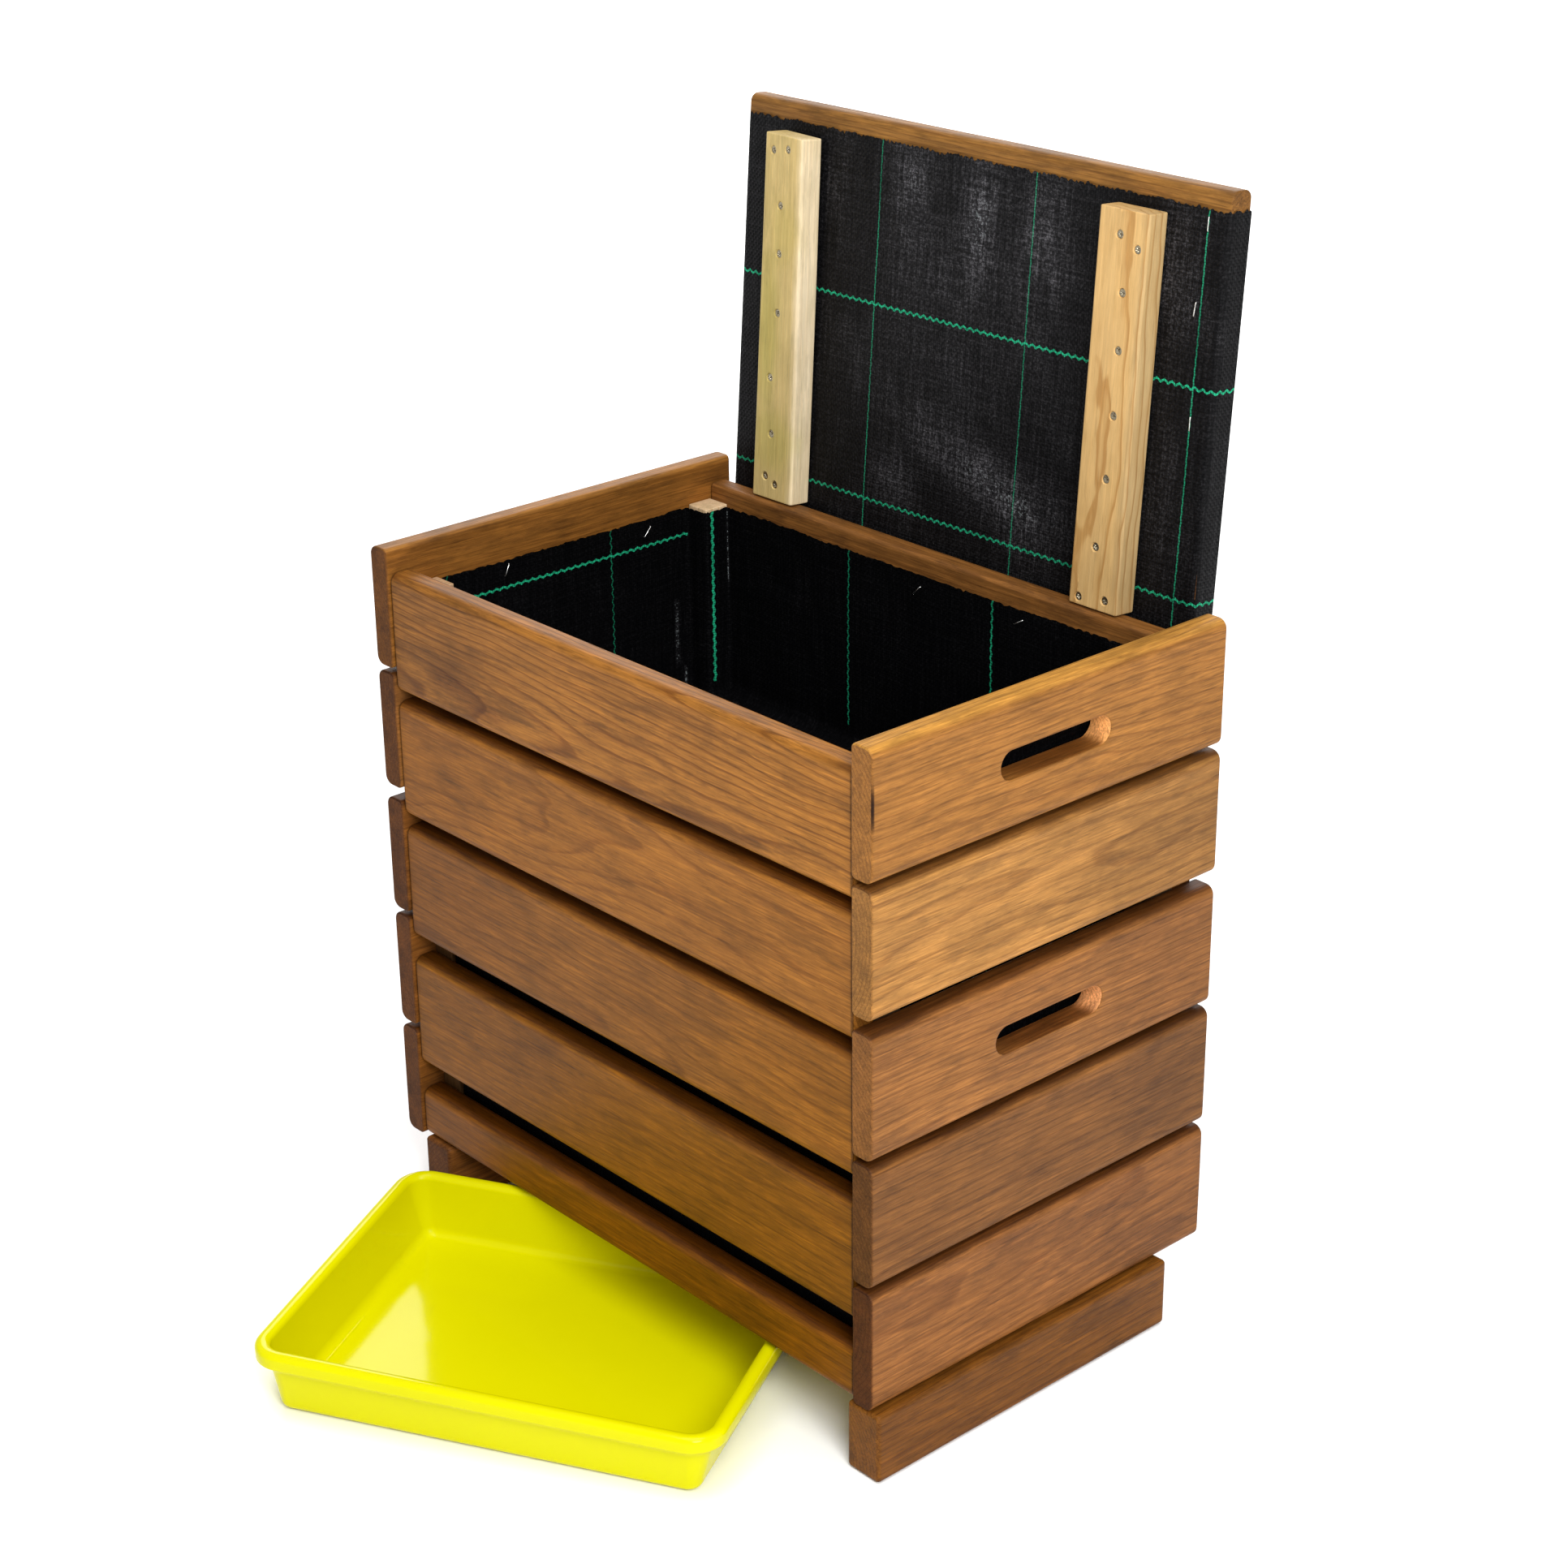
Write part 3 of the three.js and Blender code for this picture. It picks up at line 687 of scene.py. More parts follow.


# Boards that the photo shows: (blotches, strength of the rings, darker ends), pith across
# and through from the board's middle, and tint
# The front boards' tints darken towards the ground: partly the stain, partly painted shade
BOARDS = {
    "upper_front_board_1": ((0.35, 0.8, 0), (30.0, 75.0), (0.72, 0.65, 0.41)),
    "upper_front_board_2": ((0.2, 0.5, 0), (-20.0, 70.0), (0.66, 0.57, 0.30)),
    "lower_front_board_1": ((0.2, 0.5, 0), (35.0, 90.0), (0.52, 0.44, 0.20)),
    "lower_front_board_2": ((0.25, 0.4, 0), (-50.0, 80.0), (0.47, 0.38, 0.07)),
    "lower_front_board_3": ((0.2, 0.3, 0), (20.0, 60.0), (0.44, 0.33, 0.03)),
    "upper_right_board_1": ((0.15, 0.5, 0.12), (45.0, 90.0), (0.70, 0.67, 0.53)),
    "upper_right_board_2": ((0.18, 0.5, 0.3), (-15.0, 60.0), (0.86, 0.91, 0.85)),
    "lower_right_board_1": ((0.25, 0.55, 0.2), (55.0, 80.0), (0.63, 0.58, 0.53)),
    "lower_right_board_2": ((0.25, 0.5, 0.5), (60.0, 100.0), (0.42, 0.38, 0.33)),
    "lower_right_board_3": ((0.35, 0.5, 0.75), (-40.0, 80.0), (0.56, 0.49, 0.45)),
    "upper_left_board_1": ((0.3, 0.3, 0.6), (50.0, 80.0), (0.56, 0.50, 0.34)),
    "upper_left_board_2": ((0.3, 0.3, 0.7), (-40.0, 80.0), (0.60, 0.55, 0.5)),
    "upper_back_board_1": ((0.4, 0.4, 0.4), (30.0, 60.0), (0.50, 0.46, 0.4)),
    "lid_board_4": ((0.3, 0.5, 0.3), (40.0, 50.0), (0.60, 0.62, 0.52)),
    "runner_right": ((0.35, 0.5, 0), (20.0, 60.0), (0.36, 0.29, 0.12)),
}
# Tints of the boards that aren't listed, and of bare timber
BROWN = (0.66, 0.58, 0.42)
BROWNER = (0.5, 0.41, 0.3)
PALE = (1.0, 1.0, 1.0)
PINKISH = (0.97, 1.0, 1.4)
DULL_PINKISH = (0.7, 0.62, 0.8)
# Painted shade: the lower posts are near black where they stand inside the lower body
SHADY = (0.12, 0.08, 0.06)
HAND_SLOT = (106.0, 21.5)  # length and height


def board_of(name):
    """Look, pith and tint of a board, listed or made up from its name."""
    if name in BOARDS:
        return BOARDS[name]
    rng = seeded("board " + name)
    look = (rng.uniform(0.2, 0.45), rng.uniform(0.25, 0.5), 0.6)
    pith = (rng.uniform(-60, 60), rng.choice([-1, 1]) * rng.uniform(45, 95))
    tint = BROWNER if name.startswith(("lower", "runner")) else BROWN
    return look, pith, tuple(np.array(tint) * rng.uniform(0.94, 1.06))


for name in sorted(nodes):
    look, pith, tint = board_of(name)
    if "_board_" in name:
        slotted = name.endswith("board_1") and ("left" in name or "right" in name)
        size, step = (HAND_SLOT, 5.0) if slotted else (None, 8.0)
        easings = (4.0, 7.5) if "left" in name or "back" in name else (7.5, 4.0)
        easings = (7.0, 6.5) if name.startswith("lid") else easings
        bar(name, stained, "stained_timber", easings, 1.3, (look, pith, tint), size, step)
    elif name.startswith("runner"):
        bar(name, stained, "dark_timber", (3.5, 3.5), 3.0, (look, pith, tint))
    elif "_post_" in name:
        tint = SHADY if name.startswith("lower") else PINKISH
        tint = DULL_PINKISH if name == "upper_post_front_left" else tint
        bar(name, bare, "bare_timber", (1.5, 1.5), 0.8, ((0.3, 0.6, 0.0), pith, tint))
    elif "_cleat_" in name or "_slat_" in name:
        bar(name, bare, "bare_timber", (1.5, 1.5), 0.8, ((0.2, 0.6, 0.2), pith, PALE))


# Battens, each with nine screws in countersunk holes


def solid_of(name, points, faces):
    """Object for a cut, from points in millimetres."""
    mesh = bpy.data.meshes.new(name)
    mesh.from_pydata(points.tolist(), [], faces)
    mesh.update()
    thing = bpy.data.objects.new(name, mesh)
    bpy.context.scene.collection.objects.link(thing)
    return thing


def turned(profile, sides):
    """Solid of revolution about the third axis from (radius, height) pairs, outwards and
    up from the lower middle to the upper middle: each ring is its radius times the unit
    circle."""
    radius, height = np.array(profile).T
    ring = radius[:, None, None] * unit(np.arange(sides) * 360 / sides)
    points = np.column_stack([ring.reshape(-1, 2), np.repeat(height, sides)])
    return points, grid_faces(len(profile), sides) + caps(len(profile), sides)


def joined(parts):
    """One list of points and faces from several."""
    faces, start = [], 0
    for points, part_faces in parts:
        faces += [(np.array(face) + start).tolist() for face in part_faces]
        start += len(points)
    return np.concatenate([points for points, _ in parts]), faces


def flipped(faces):
    """Faces that look the other way."""
    return [face[::-1] for face in faces]


def screw_head():
    """Countersunk head with its rim at height zero and facing down. The cross recess is
    where a point lies near one axis and within the cross's reach along the other."""
    radii = (0.01, 0.35, 0.7, 1.05, 1.4, 1.75, 2.2, 2.7, 3.0)
    points, faces = turned([*((radius, 0.0) for radius in radii), (1.4, 2.4)], 32)
    off = np.abs(points[:, :2])
    recess = (off.min(1) < 0.42) & (off.max(1) < 1.75) & (points[:, 2] == 0)
    points[recess, 2] = 1.3
    return points, faces


# Countersunk hole as (radius, depth)
FUNNEL = [(4.35, -0.6), (3.75, 0.0), (3.05, 0.9), (3.05, 2.6)]
HEAD_DEPTH = 1.1  # how far a screw's rim lies below the batten's face


def batten(side, material, board, holes, cracks, twist):
    """Batten with countersunk screws. Holes are (from the left edge, up from the foot);
    cracks are (from the left edge, foot, top, sideways drift)."""
    name = f"lid_batten_{side}"
    frame_of = own_frame(name)
    length, across, through = frame_of[3]
    points, faces, _ = bar_shape(length, across, through, (2.5, 2.5), 0.9, 5.0)
    body = solid_of("batten cut", points, faces)
    cutters, heads = [], []
    # The wide face that shows is the one at the lower side of the third axis
    for left, up in holes:
        spot = np.array([up - length / 2, left - across / 2, -through / 2])
        funnel, funnel_faces = turned(FUNNEL, 24)
        cutters.append((funnel[:, [1, 0, 2]] + spot, flipped(funnel_faces)))
        head, head_faces = screw_head()
        c, s = unit(seeded(f"{name} {left}").uniform(0, 90))
        head = head @ np.array([[c, s, 0], [-s, c, 0], [0, 0, 1]])
        heads.append((head[:, [1, 0, 2]] + spot + (0, 0, HEAD_DEPTH), head_faces))
    # A crack is a thin wedge: its half width follows a sine up its length, and it drifts
    # sideways with a small sway
    for left, foot, top, drift in cracks:
        up = spaced(foot, top, 4.0)[:, None]
        share = (up - foot) / (top - foot)
        half = 0.08 + 0.38 * np.sin(math.pi * np.minimum(1.0, share * 0.6 + 0.4))
        sway = drift * share + 0.5 * np.sin(up * 0.5)
        off = left + sway - across / 2 + half * (-1, 1, 0.5, -0.5)
        deep = np.array([-0.5, -0.5, 1.8, 1.8]) - through / 2
        crack = np.stack(np.broadcast_arrays(up - length / 2, off, deep), -1).reshape(-1, 3)
        crack_faces = flipped(grid_faces(len(up), 4)) + caps(len(up), 4)
        cutters.append((crack, crack_faces))
    cutter = solid_of("hole cut", *joined(cutters))
    cut = body.modifiers.new("holes", "BOOLEAN")
    cut.object = cutter
    cut.operation = "DIFFERENCE"
    cut.solver = "EXACT"
    whole = body.evaluated_get(bpy.context.evaluated_depsgraph_get()).to_mesh()
    points = vertices_of(whole)
    faces = [list(polygon.vertices) for polygon in whole.polygons]
    for thing in (body, cutter):
        bpy.data.objects.remove(thing)

    def twisted(spots):
        """Turns the batten about its left rear edge, by an angle that grows as the share of
        its length to the power 1.4."""
        angle = np.radians(twist) * np.clip(spots[:, 0] / length + 0.5, 0, 1.1) ** 1.4
        b, t = spots[:, 1] + across / 2, spots[:, 2] - through / 2
        c, s = np.cos(angle), np.sin(angle)
        b, t = b * c + t * s, t * c - b * s
        return np.column_stack([spots[:, 0], b - across / 2, t + through / 2])

    flat = [i for i, face in enumerate(faces) if len(face) > 4]
    dress(name, material, "bare_timber", frame_of, points, faces, flat, board, twisted)
    head_points, head_faces = joined(heads)
    place, axes, middle, _ = frame_of
    world = placed(place, twisted(head_points) @ axes + middle)
    make(name + "_screws", "lid", world, head_faces, zinc, {"flow": world})


LEFT_HOLES = [(10.4, 273), (28.3, 275.6), (21, 232), (21.2, 195), (21.8, 149), (15.7, 97)]
LEFT_HOLES += [(19.5, 52.5), (14.5, 17.7), (25.9, 12.7)]
RIGHT_HOLES = [(20.2, 268), (37.1, 260), (26.5, 228.5), (27.2, 188), (27.8, 142), (25.9, 96)]
RIGHT_HOLES += [(21.6, 45.5), (9.3, 5.8), (34.3, 8.6)]
RIGHT_CRACKS = [(20.4, 272.5, 287.0, -0.6), (9.0, 11.0, 30.0, -2.0)]
left_board = ((0.3, 0.2, 0.0), (30.0, 70.0), (0.86, 0.9, 0.83))
right_board = ((0.1, 0.8, 0.0), (-4.0, 34.0), (0.93, 0.85, 0.75))
batten("left", bare, left_board, LEFT_HOLES, [], 5.0)
batten("right", swirled, right_board, RIGHT_HOLES, RIGHT_CRACKS, 0.0)


# Ground cover


def rounded_path(corners, radius, step, closed=True):
    """Path through plan corners, each rounded by a quadratic curve from the radius before
    it to the radius after it, as points about a step apart."""
    corners = np.asarray(corners, float)
    t = np.linspace(0, 1, 6)[:, None]
    curves = []
    for index, corner in enumerate(corners):
        if not closed and index in (0, len(corners) - 1):
            curves.append(corner[None])
            continue
        before, after = corners[index - 1] - corner, corners[(index + 1) % len(corners)] - corner
        start = corner + before / np.linalg.norm(before) * radius
        stop = corner + after / np.linalg.norm(after) * radius
        curves.append((1 - t) ** 2 * start + 2 * t * (1 - t) * corner + t * t * stop)
    points = np.concatenate([*curves, curves[0][:1]] if closed else curves)
    ahead = np.diff(points, axis=0)
    counts = np.maximum(1, np.round(np.linalg.norm(ahead, axis=1) / step)).astype(int)
    first = np.repeat(np.cumsum(counts) - counts, counts)
    share = (np.arange(counts.sum()) - first) / np.repeat(counts, counts)
    base, way = (np.repeat(part, counts, axis=0) for part in (points[:-1], ahead))
    path = base + way * share[:, None]
    return path if closed else np.concatenate([path, points[-1:]])


def measured(path, closed=True):
    """Distance along a path at its points, and the normals on its left: a quarter turn
    from the average of the directions before and after each point."""
    following = np.roll(path, -1, axis=0) - path
    if not closed:
        following[-1] = following[-2]
    length = np.linalg.norm(following, axis=1)
    along = np.concatenate([[0], np.cumsum(length)[:-1]])
    unit_ahead = following / length[:, None]
    average = unit_ahead + np.roll(unit_ahead, 1, axis=0)
    if not closed:
        average[0] = unit_ahead[0]
    average /= np.linalg.norm(average, axis=1)[:, None]
    return along, np.column_stack([-average[:, 1], average[:, 0]])


def ragged(rng, along, depth):
    """How far a cut edge falls below its line: frayed, with a few deeper nicks."""
    fall = 0.3 * depth * (1 + waves(rng, along[:, None], 40.0, 1.0))
    fall += 0.25 * depth * (1 + waves(rng, along[:, None], 9.0, 1.0, 8))
    return fall + 0.3 * depth * np.abs(rng.normal(size=len(along)))


def stacked(*parts):
    """Columns of equal length from arrays of any shapes that fit together."""
    return np.stack(np.broadcast_arrays(*parts), -1).reshape(-1, len(parts))


def folds(name, along, up, wide, small):
    """How far cloth stands off its line: wide folds plus small ones, each as (size,
    strength), from nothing to twice the strength."""
    spots = stacked(along, up)
    bulge = wide[1] * (1 + waves(seeded(name + " folds"), spots, wide[0], 1.0))
    bulge += small[1] * (1 + waves(seeded(name + " small"), spots, small[0], 1.0, 9))
    return bulge.reshape(up.shape)


def beside_battens(path, clear, reach):
    """Zero where a path passes behind a batten of the lid, rising to one beside them."""
    share = np.ones(len(path))
    for side in ("left", "right"):
        _, first, last = own_box(f"lid_batten_{side}")
        outside = np.maximum(first[0] - path[:, 0], path[:, 0] - last[0])
        share *= np.clip((outside - clear) / reach, 0, 1)
    return share


def soft_spots(x, z, spots):
    """Sum of oval spots, each (place, place, reach, reach, turn in degrees, strength),
    which fade as exp(-(across^2 + up^2)) in their own turned and scaled axes."""
    total = 0
    for x0, z0, wide, high, angle, strength in spots:
        c, s = unit(angle)
        across = ((x - x0) * c + (z - z0) * s) / wide
        up = ((z - z0) * c - (x - x0) * s) / high
        total = total + strength * np.exp(-(across**2 + up**2))
    return total


def liner_plan(tier):
    """Corners that the tier's liner goes round, inside the boards and outside the posts,
    and its lowest X and Y and highest X and Y."""
    _, low, high = own_box(f"{tier}_liner")
    near = own_box(f"{tier}_post_front_left")[2] + 1.6
    far = own_box(f"{tier}_post_back_right")[1] - 1.6
    x0, y0, x1, y1 = low[0] + 1.4, low[1] + 1.4, high[0] - 1.4, high[1] - 1.4
    plan = [(near[0], y0), (far[0], y0), (far[0], near[1]), (x1, near[1]), (x1, far[1])]
    plan += [(far[0], far[1]), (far[0], y1), (near[0], y1), (near[0], far[1]), (x0, far[1])]
    plan += [(x0, near[1]), (near[0], near[1])]
    return np.array(plan), (x0, y0, x1, y1)


def crease_glints(path, up, bounds):
    """Painted glints where a liner's walls are creased, a painted highlight: beside the post at
    the back left, and low down in that corner."""
    x0, _, _, y1 = bounds
    strength = np.zeros(up.shape)
    for x, y, low, high, shine in (
        (x0 + 22, y1, 455, 515, 1.5),
        (x0, y1 - 38, 385, 440, 1.05),
        (x0 + 1, y1 - 22, 430, 500, 1.5),
        (x0, y1 - 30, 362, 384, 1.9),
    ):
        near = np.hypot(path[:, 0] - x, path[:, 1] - y) < 1.5
        strength += shine * near * (up > low) * (up < high)
    return strength


def box_liner(tier, material, path, plan, bounds):
    """Liner pressed into the tier: walls that go round the four posts, and a floor that
    meets them in a soft fold. A wall point is the path's, moved inwards by the folds and by
    the arc at the wall's foot. The floor's rings are the foot's, drawn in step by step."""
    name = f"{tier}_liner"
    _, low, high = own_box(name)
    x0, y0, x1, y1 = bounds
    along, inward = measured(path)
    count = len(path)
    fall = ragged(seeded(name), along, 1.3 if tier == "lower" else 2.2)
    fold, clear_height = 13.0, 60.0
    height = high[2] - low[2] + (3.0 if tier == "lower" else 2.2)
    levels = [0.0, 1.0, 2.5, 4.5, 7.0, 10.0, *spaced(fold, height - 6, 5.0)]
    levels = np.array([*levels, height - 4, height - 2.5, height - 1.2, height])[:, None]
    rise = levels - fall * (levels / height) ** 10
    nearest = np.min([np.hypot(*(path - corner).T) for corner in plan], axis=0)
    bulge = folds(name, along, 0.45 * rise, (60.0, 1.1), (20.0, 0.5))
    bulge *= np.clip((nearest - 3) / 25, 0, 1) * np.minimum(1.0, levels / 20)
    # The battens of the closed lid go down beside the front and back walls
    bulge *= np.where(height - levels < clear_height, beside_battens(path, 8, 20), 1.0)
    bulge += fold - np.sqrt(fold**2 - (fold - np.minimum(levels, fold)) ** 2)
    out = path + inward * bulge[..., None]
    walls = stacked(out[..., 0], out[..., 1], low[2] + 0.8 + rise)
    up = low[2] + rise
    wall_cloth = stacked(along, up, crease_glints(path, up, bounds))

    middle = np.array([(x0 + x1) / 2, (y0 + y1) / 2])
    steps = 1 - (np.arange(1, 40) / 40) ** 1.2
    spots = (middle + (out[0] - middle) * np.cumprod(steps)[::-1, None, None]).reshape(-1, 2)
    lift = 0.9 + 0.7 * waves(seeded(name + " floor"), spots, 50.0, 1.0, 9)
    lift += 0.4 * waves(seeded(name + " crease"), spots, 15.0, 1.0, 9)
    crumple = np.exp(-((np.hypot(*(spots - (x0 + 45, y1 - 30)).T) / 32) ** 2))
    lift += crumple * (5.0 + 5.0 * waves(seeded(name + " crumple"), spots, 17.0, 1.0, 9))
    lift = np.clip(lift, 0.1, None) * np.repeat(np.minimum(1.0, (1 - steps[::-1]) * 16), count)
    # Painted glints on the crumpled floor at the back left: a painted highlight
    glint_spots = waves(seeded(name + " glints"), spots, 9.0, 1.0, 5) > 0.45
    floor_rings = np.column_stack([spots, low[2] + 0.8 + lift])
    floor_cloth = np.column_stack([spots + 5000, 0.3 + 3.0 * crumple * glint_spots])

    points = np.concatenate([floor_rings, walls, [[*middle, low[2] + 1.5]]])
    cloth = np.concatenate([floor_cloth, wall_cloth, [[*(middle + 5000), 0]]])
    faces = grid_faces(len(steps) + len(levels), count)
    rim = np.arange(count)
    faces += np.column_stack([np.roll(rim, -1), rim, 0 * rim + len(points) - 1]).tolist()
    body = body_of[name]
    piece = make(name + "_cloth", body, points, faces, material, {"cloth": cloth})
    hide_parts(name)


def liner_lines(tier, path, bounds):
    """Marker threads of a liner: upright ones on the left and back walls, and a level one
    on the left wall, as the cloth was folded out of one piece."""
    x0, y0, _, y1 = bounds
    along = measured(path)[0]

    def nearest(x, y):
        """Distance along the path to its point nearest to a place in plan."""
        return float(along[np.argmin(np.hypot(path[:, 0] - x, path[:, 1] - y))])

    foot = own_box(f"{tier}_liner")[1][2] + 16
    places = (
        (-87.3, y1, 0.6, 0.55),
        (67.0, y1, 0.7, 0.7),
        (x0 + 22, y1 - 16, 1.1, 1.0),
        (x0, 151.6, 0.35, 0.35),
        (x0, -5.0, 0.35, 0.3),
    )
    upright = [(nearest(x, y), half, 0.7, foot, 5000, bright) for x, y, half, bright in places]
    ends = sorted(nearest(x0, y) for y in (y1 - 24, y0 + 24))
    return upright, [(496.5, 0.8, 0.9, *ends, 1.0)]


for tier in ("lower", "upper"):
    plan, plan_bounds = liner_plan(tier)
    tier_path = rounded_path(plan, 3.5, 2.5)
    threads = liner_lines(tier, tier_path, plan_bounds)
    # The liners' cloth shows less grey than the lid's: painted shade inside the box
    tier_cloth = ground_cover(f"ground cover of the {tier} liner", *threads, 0.3, 0.02)
    box_liner(tier, tier_cloth, tier_path, plan, plan_bounds)

# Dust on the lid's cover: place across and up, reach across and up, turn, strength
LID_DUST = [
    (-56, 284, 22, 34, 0, 0.9),
    (13, 270, 20, 52, 0, 0.95),
    (-20, 225, 60, 40, 0, 0.35),
    (80, 262, 34, 55, 0, 0.6),
    (203, 262, 18, 55, 0, 0.6),
    (205, 95, 20, 50, 0, 0.25),
    (0, 86, 75, 20, -22, 0.65),
    (66, 70, 60, 20, -14, 0.6),
    (76, 48, 26, 26, 0, 0.45),
    (-62, 52, 22, 18, -30, 0.6),
    (-140, 275, 22, 44, 0, 0.3),
    (-10, 150, 110, 50, 0, 0.25),
]


def lid_cover(material):
    """Cover over the lid's inner face and round both ends, tight under the battens and a
    little loose between them. A point is the path's, moved outwards by the folds."""
    name = "lid_cover"
    place, low, high = own_box(name)
    corners = [(low[0] + 0.5, high[1]), (low[0] + 0.5, low[1] + 0.4)]
    corners += [(high[0] - 0.5, low[1] + 0.4), (high[0] - 0.5, high[1])]
    path = rounded_path(corners, 5.0, 1.6, closed=False)
    along, _ = measured(path, closed=False)
    along = along - along[-1] / 2 + (low[0] + high[0]) / 2
    bottom, top = low[2], high[2]
    fall = ragged(seeded(name), along, 4.2)
    levels = [*spaced(bottom, top - 8, 4.5), top - 6, top - 4, top - 2.5, top - 1.2, top]
    levels = np.array(levels)[:, None]
    rise = levels - fall * ((levels - bottom) / (top - bottom)) ** 14
    bulge = folds(name, along, 0.4 * rise, (55.0, 0.35), (18.0, 0.18))
    bulge *= beside_battens(path, 0, 25) * np.clip((high[0] - np.abs(path[:, 0])) / 20, 0, 1)
    bulge *= np.minimum(1.0, (levels - bottom) / 60)
    points = placed(place, stacked(path[:, 0], path[:, 1] - bulge, rise))
    cloth = {"cloth": stacked(along, rise, soft_spots(along, rise, LID_DUST))}
    faces = grid_faces(len(levels), len(path), closed=False)
    piece = make(name + "_cloth", "lid", points, faces, material, cloth)
    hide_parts(name)


lid_cover(lid_cloth)


# Staples of galvanised wire: (middle, way the crown runs, way out of the cloth)

STAPLE_PLACES = np.array([-5, -5, -4.4, 4.4, 5, 5])[:, None, None]  # along the crown
STAPLE_DEPTHS = np.array([-1.6, -0.1, 0.2, 0.2, -0.1, -1.6])[:, None, None]  # above the cloth
ON_CROWN = np.array([0, 0, 1, 1, 0, 0])[:, None]
WIRE_RADIUS = 0.45


def staple(middle, crown, out):
    """Points and faces of a staple: a crown 10 mm long with its legs in the timber. Each
    ring is a circle about its place on the wire, and at the crown it stands upright."""
    crown = np.array(crown, float) / np.linalg.norm(crown)
    out = np.array(out, float)
    across = np.cross(crown, out)
    raised = np.where(ON_CROWN, out, crown * np.sign(STAPLE_PLACES[:, 0]))
    c, s = (WIRE_RADIUS * unit(np.arange(0, 360, 45))).T[:, None, :, None]
    ring = raised[:, None] * c + across * s
    points = np.array(middle) + crown * STAPLE_PLACES + out * STAPLE_DEPTHS + ring
    return points.reshape(-1, 3), grid_faces(6, 8) + caps(6, 8)


cover_low = own_box("lid_cover")[1]
cover_face = cover_low[1] - 0.2
in_lid = [
    staple((226, cover_face, 296), (0, 0, 1), (0, -1, 0)),
    staple((226, cover_face, 158), (0, 0, 1), (0, -1, 0)),
    staple((221, cover_face, 237), (0.1, 0, 1), (0, -1, 0)),
    staple((cover_low[0] - 0.1, cover_low[1] + 8, 302), (0, 0, 1), (-1, 0, 0)),
]
lid_points, lid_faces = joined(in_lid)
lid_points = placed(lid_place, lid_points)
make("lid_cover_staples", "lid", lid_points, lid_faces, wire_zinc, {"flow": lid_points})
wall_x, _, _, wall_y = liner_plan("upper")[1] + np.array([2.8, 0, 0, -2.8])
in_liner = [
    staple((wall_x, 48.8, 511.4), (0, 0.45, 1), (1, 0, 0)),
    staple((wall_x, 188.5, 509.3), (0, 0.9, 1), (1, 0, 0)),
    staple((-11.6, wall_y, 506.3), (1, 0, 1), (0, -1, 0)),
    staple((94.4, wall_y, 509.2), (1, 0, 0.6), (0, -1, 0)),
]
TIER_DROP = 206.5  # from the upper liner's staples to the lower one's
wire_points, wire_faces = joined(in_liner)
for liner, drop in (("upper_liner", 0), ("lower_liner", TIER_DROP)):
    spots = wire_points - (0, 0, drop)
    name = liner + "_staples"
    make(name, body_of[liner], spots, wire_faces, wire_zinc, {"flow": spots})


# Drip tray


def ring_points(rings, corner=14, side=12):
    """Rounded rectangles, counterclockwise, one for each row of half width, half depth,
    corner radius and height. A corner's point is its centre plus the radius times a unit
    vector, and the sides go straight on from there."""
    half, radius, height = rings[:, None, :2], rings[:, None, 2:3], rings[:, 3]
    parts = []
    for quarter in range(4):
        start = quarter * 90
        centre = np.sign(unit(start + 45)) * (half - radius)
        arc = centre + radius * unit(np.linspace(start, start + 90, corner + 1))
        length = 2 * (half - radius)[..., quarter % 2, None]
        shares = (np.arange(1, side) / side)[:, None]
        parts += [arc, arc[:, -1:] + length * shares * unit(start + 180)]
    points = np.concatenate(parts, 1)
    return np.dstack([points, np.broadcast_to(height[:, None], points.shape[:2])])


def quarter_steps(start, stop, count):
    """(1 - sine, 1 - cosine) of evenly spaced angles in degrees."""
    return 1 - unit(np.linspace(start, stop, count))[:, ::-1]


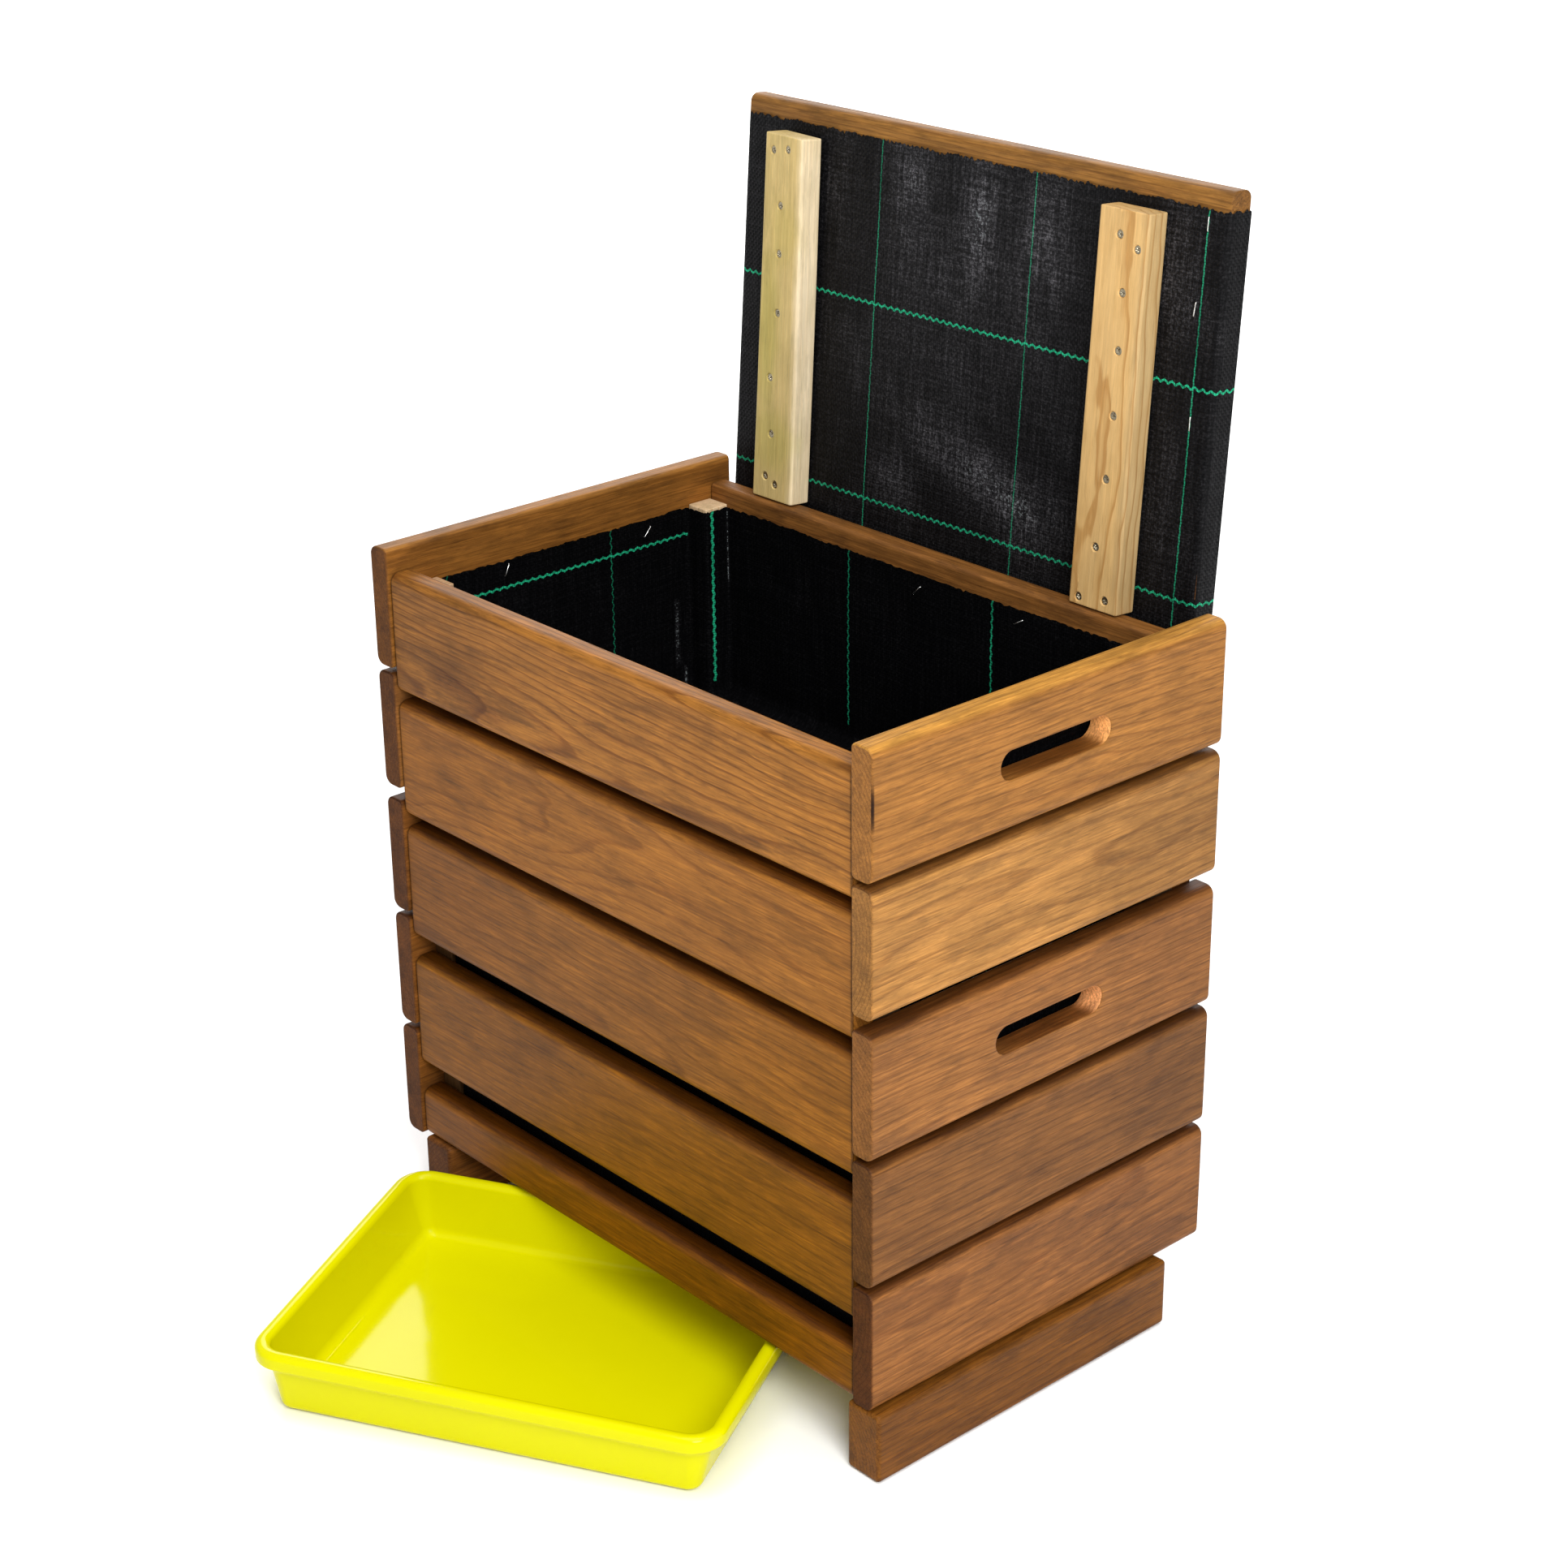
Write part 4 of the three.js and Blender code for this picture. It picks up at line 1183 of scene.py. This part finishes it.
def drip_tray():
    """Moulded tray with drafted walls, filleted corners and a rim rolled outwards. It is a
    stack of rounded rectangles: their half sizes grow with height by the walls' slope, and
    follow quarter circles at the fillets and half an ellipse over the rim."""
    _, low, high = own_box("drip_tray")
    c, s = unit(TRAY_TURN)
    turn_back = np.array([[c, -s], [s, c]])
    back = vertices_of(nodes["drip_tray"].data)[:, :2] / MM @ turn_back
    middle = (back.min(0) + back.max(0)) / 2
    half = (back.max(0) - back.min(0)) / 2
    height = high[2] - low[2]
    lip, lip_height, wall = 9.0, 12.0, 2.4
    draft = np.array([10.0, 4.0])  # how far the ends and the long walls slope in
    foot_radius, top_radius, fillet, inner_fillet = 9.0, 17.0, 5.0, 6.0
    crown = 4.6  # height of the rim's rounded top
    wall_top = half - lip
    foot = height - lip_height

    def on_wall(z, inset, round_off=0.0):
        """Ring on the wall, drawn in by the draft, the inset and a fillet."""
        share = min(1.0, z / foot)
        radius = foot_radius + (top_radius - foot_radius) * share - inset - round_off * 0.4
        return (*(wall_top - draft * (1 - share) - inset - round_off), max(radius, 2.0), z)

    def on_lip(out, z):
        """Ring on the rolled rim."""
        return (*(wall_top + out), top_radius + out, z)

    rings = [on_wall(fillet * rise, 0, fillet * run) for rise, run in quarter_steps(90, 0, 6)]
    rings += [on_wall(z, 0) for z in spaced(fillet + 1, foot - 2, 8.0)]
    rings += [on_lip(2 * run, foot - 2 * rise) for rise, run in quarter_steps(0, 90, 4)]
    # Underside of the rim, its edge, its crown and the way down inside
    rings.append(on_lip(lip - 1.6, foot))
    rings += [on_lip(lip - run, foot + 2 - rise) for rise, run in quarter_steps(-60, 0, 4)]
    for rise, run in quarter_steps(0, 180, 15):
        rings.append(on_lip(lip - (lip + wall) * run / 2, height - crown * rise))
    rings += [on_wall(z, wall) for z in (height - crown - 3, wall + 6.5)]
    for rise, run in quarter_steps(0, 90, 7):
        rings.append(on_wall(wall + inner_fillet * rise, wall, inner_fillet * run))
    rings = ring_points(np.array(rings))
    bottom = rings[-1] * np.array([[0.8, 0.5, 0.25], [0.8, 0.5, 0.25], [1, 1, 1]]).T[:, None]
    bottom[..., 2] = wall
    rings = np.concatenate([rings, bottom])
    rows, count = rings.shape[:2]
    points = rings.reshape(-1, 3)
    under, inside = caps(rows, count)
    faces = [under, *grid_faces(rows, count), inside]
    world = placed(Matrix.Identity(4), points + (*middle, low[2]))
    world[:, :2] = world[:, :2] @ turn_back.T
    flow = {"flow": points}
    piece = make("drip_tray_moulding", "drip_tray", world, faces, lime, flow, (0,))
    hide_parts("drip_tray")


drip_tray()


# Floor, light and camera


def lamp(name, kind, energy):
    """Light object in the scene, with its power in watts, or in watts a square metre."""
    data = bpy.data.lights.new(name, kind)
    data.energy = energy
    thing = bpy.data.objects.new(name, data)
    bpy.context.scene.collection.objects.link(thing)
    return thing


def area_light(name, position, target, size, power):
    """Square soft light at a position, pointed at a target, in metres and watts."""
    thing = lamp(name, "AREA", power)
    thing.data.shape = "SQUARE"
    thing.data.size = size
    thing.location = position
    direction = Vector(target) - Vector(position)
    thing.rotation_mode = "QUATERNION"
    thing.rotation_quaternion = direction.to_track_quat("-Z", "Y")


FLOOR_REACH = 200  # metres
FLOOR_DROP = 0.0005  # metres below the object's feet
white, tree = surface("white floor", "ffffff")
looks = {"Base Color": linear("ffffff"), "Roughness": 0.7, "Specular IOR Level": 0.0}
finished(tree, looks)
floor_mesh = bpy.data.meshes.new("floor")
corners = [(-1, -1, 0), (1, -1, 0), (1, 1, 0), (-1, 1, 0)]
floor_mesh.from_pydata((np.array(corners) * FLOOR_REACH).tolist(), [], [(0, 1, 2, 3)])
floor_mesh.materials.append(white)
floor = bpy.data.objects.new("floor", floor_mesh)
bpy.context.scene.collection.objects.link(floor)
floor.location.z = -FLOOR_DROP
floor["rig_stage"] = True

bpy.context.scene.view_settings.view_transform = "Standard"
world = bpy.data.worlds.new("studio")
world.use_nodes = True
bpy.context.scene.world = world
background = world.node_tree.nodes["Background"]
background.inputs[0].default_value = linear("ffffff")
background.inputs[1].default_value = 0.46

overhead = lamp("overhead", "SUN", 1.4)
overhead.data.angle = math.radians(40)
overhead.rotation_euler = (math.radians(3), math.radians(5), 0)
area_light("key", (1.7, -0.85, 1.55), (0.05, 0.05, 0.3), 0.9, 40)
area_light("far floor", (-4.2, 4.6, 3.4), (-4.0, 4.4, 0.0), 5.0, 420)

# Camera at the photo's place: 70.47 mm on a sensor 36 mm wide, worked out from the boards.
# Its place is in metres from the middle of the lower body's side boards, its turn, rise and
# roll in radians.
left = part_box("lower_left_board_1")
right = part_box("lower_right_board_1")
place = Vector(((left[0].x + right[1].x) / 2, (left[0].y + left[1].y) / 2, 0.0))
place += Vector((1.55354, -1.385037, 1.29947))
turn, rise, roll = 0.843, 0.411, 0.012
level = Vector((math.cos(turn), math.sin(turn), 0.0))
flat_ahead = Vector((-math.sin(turn), math.cos(turn), 0.0))
forward = flat_ahead * math.cos(rise) - Vector((0.0, 0.0, math.sin(rise)))
down = forward.cross(level)
rolled = level * math.cos(roll) + down * math.sin(roll)
rolled_down = down * math.cos(roll) - level * math.sin(roll)
camera_data = bpy.data.cameras.new("camera")
camera_data.sensor_width = 36.0
camera_data.lens = 70.47
camera_data.clip_start, camera_data.clip_end = 0.05, 500.0
camera = bpy.data.objects.new("camera", camera_data)
bpy.context.scene.collection.objects.link(camera)
view = Matrix((rolled, -rolled_down, -forward)).transposed().to_4x4()
camera.matrix_world = Matrix.Translation(place) @ view
bpy.context.scene.camera = camera

low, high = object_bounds()
sizes = {"frame": [frame_low, frame_high], "visual": [low, high]}
sizes = {key: [[float(value) for value in end] for end in ends] for key, ends in sizes.items()}
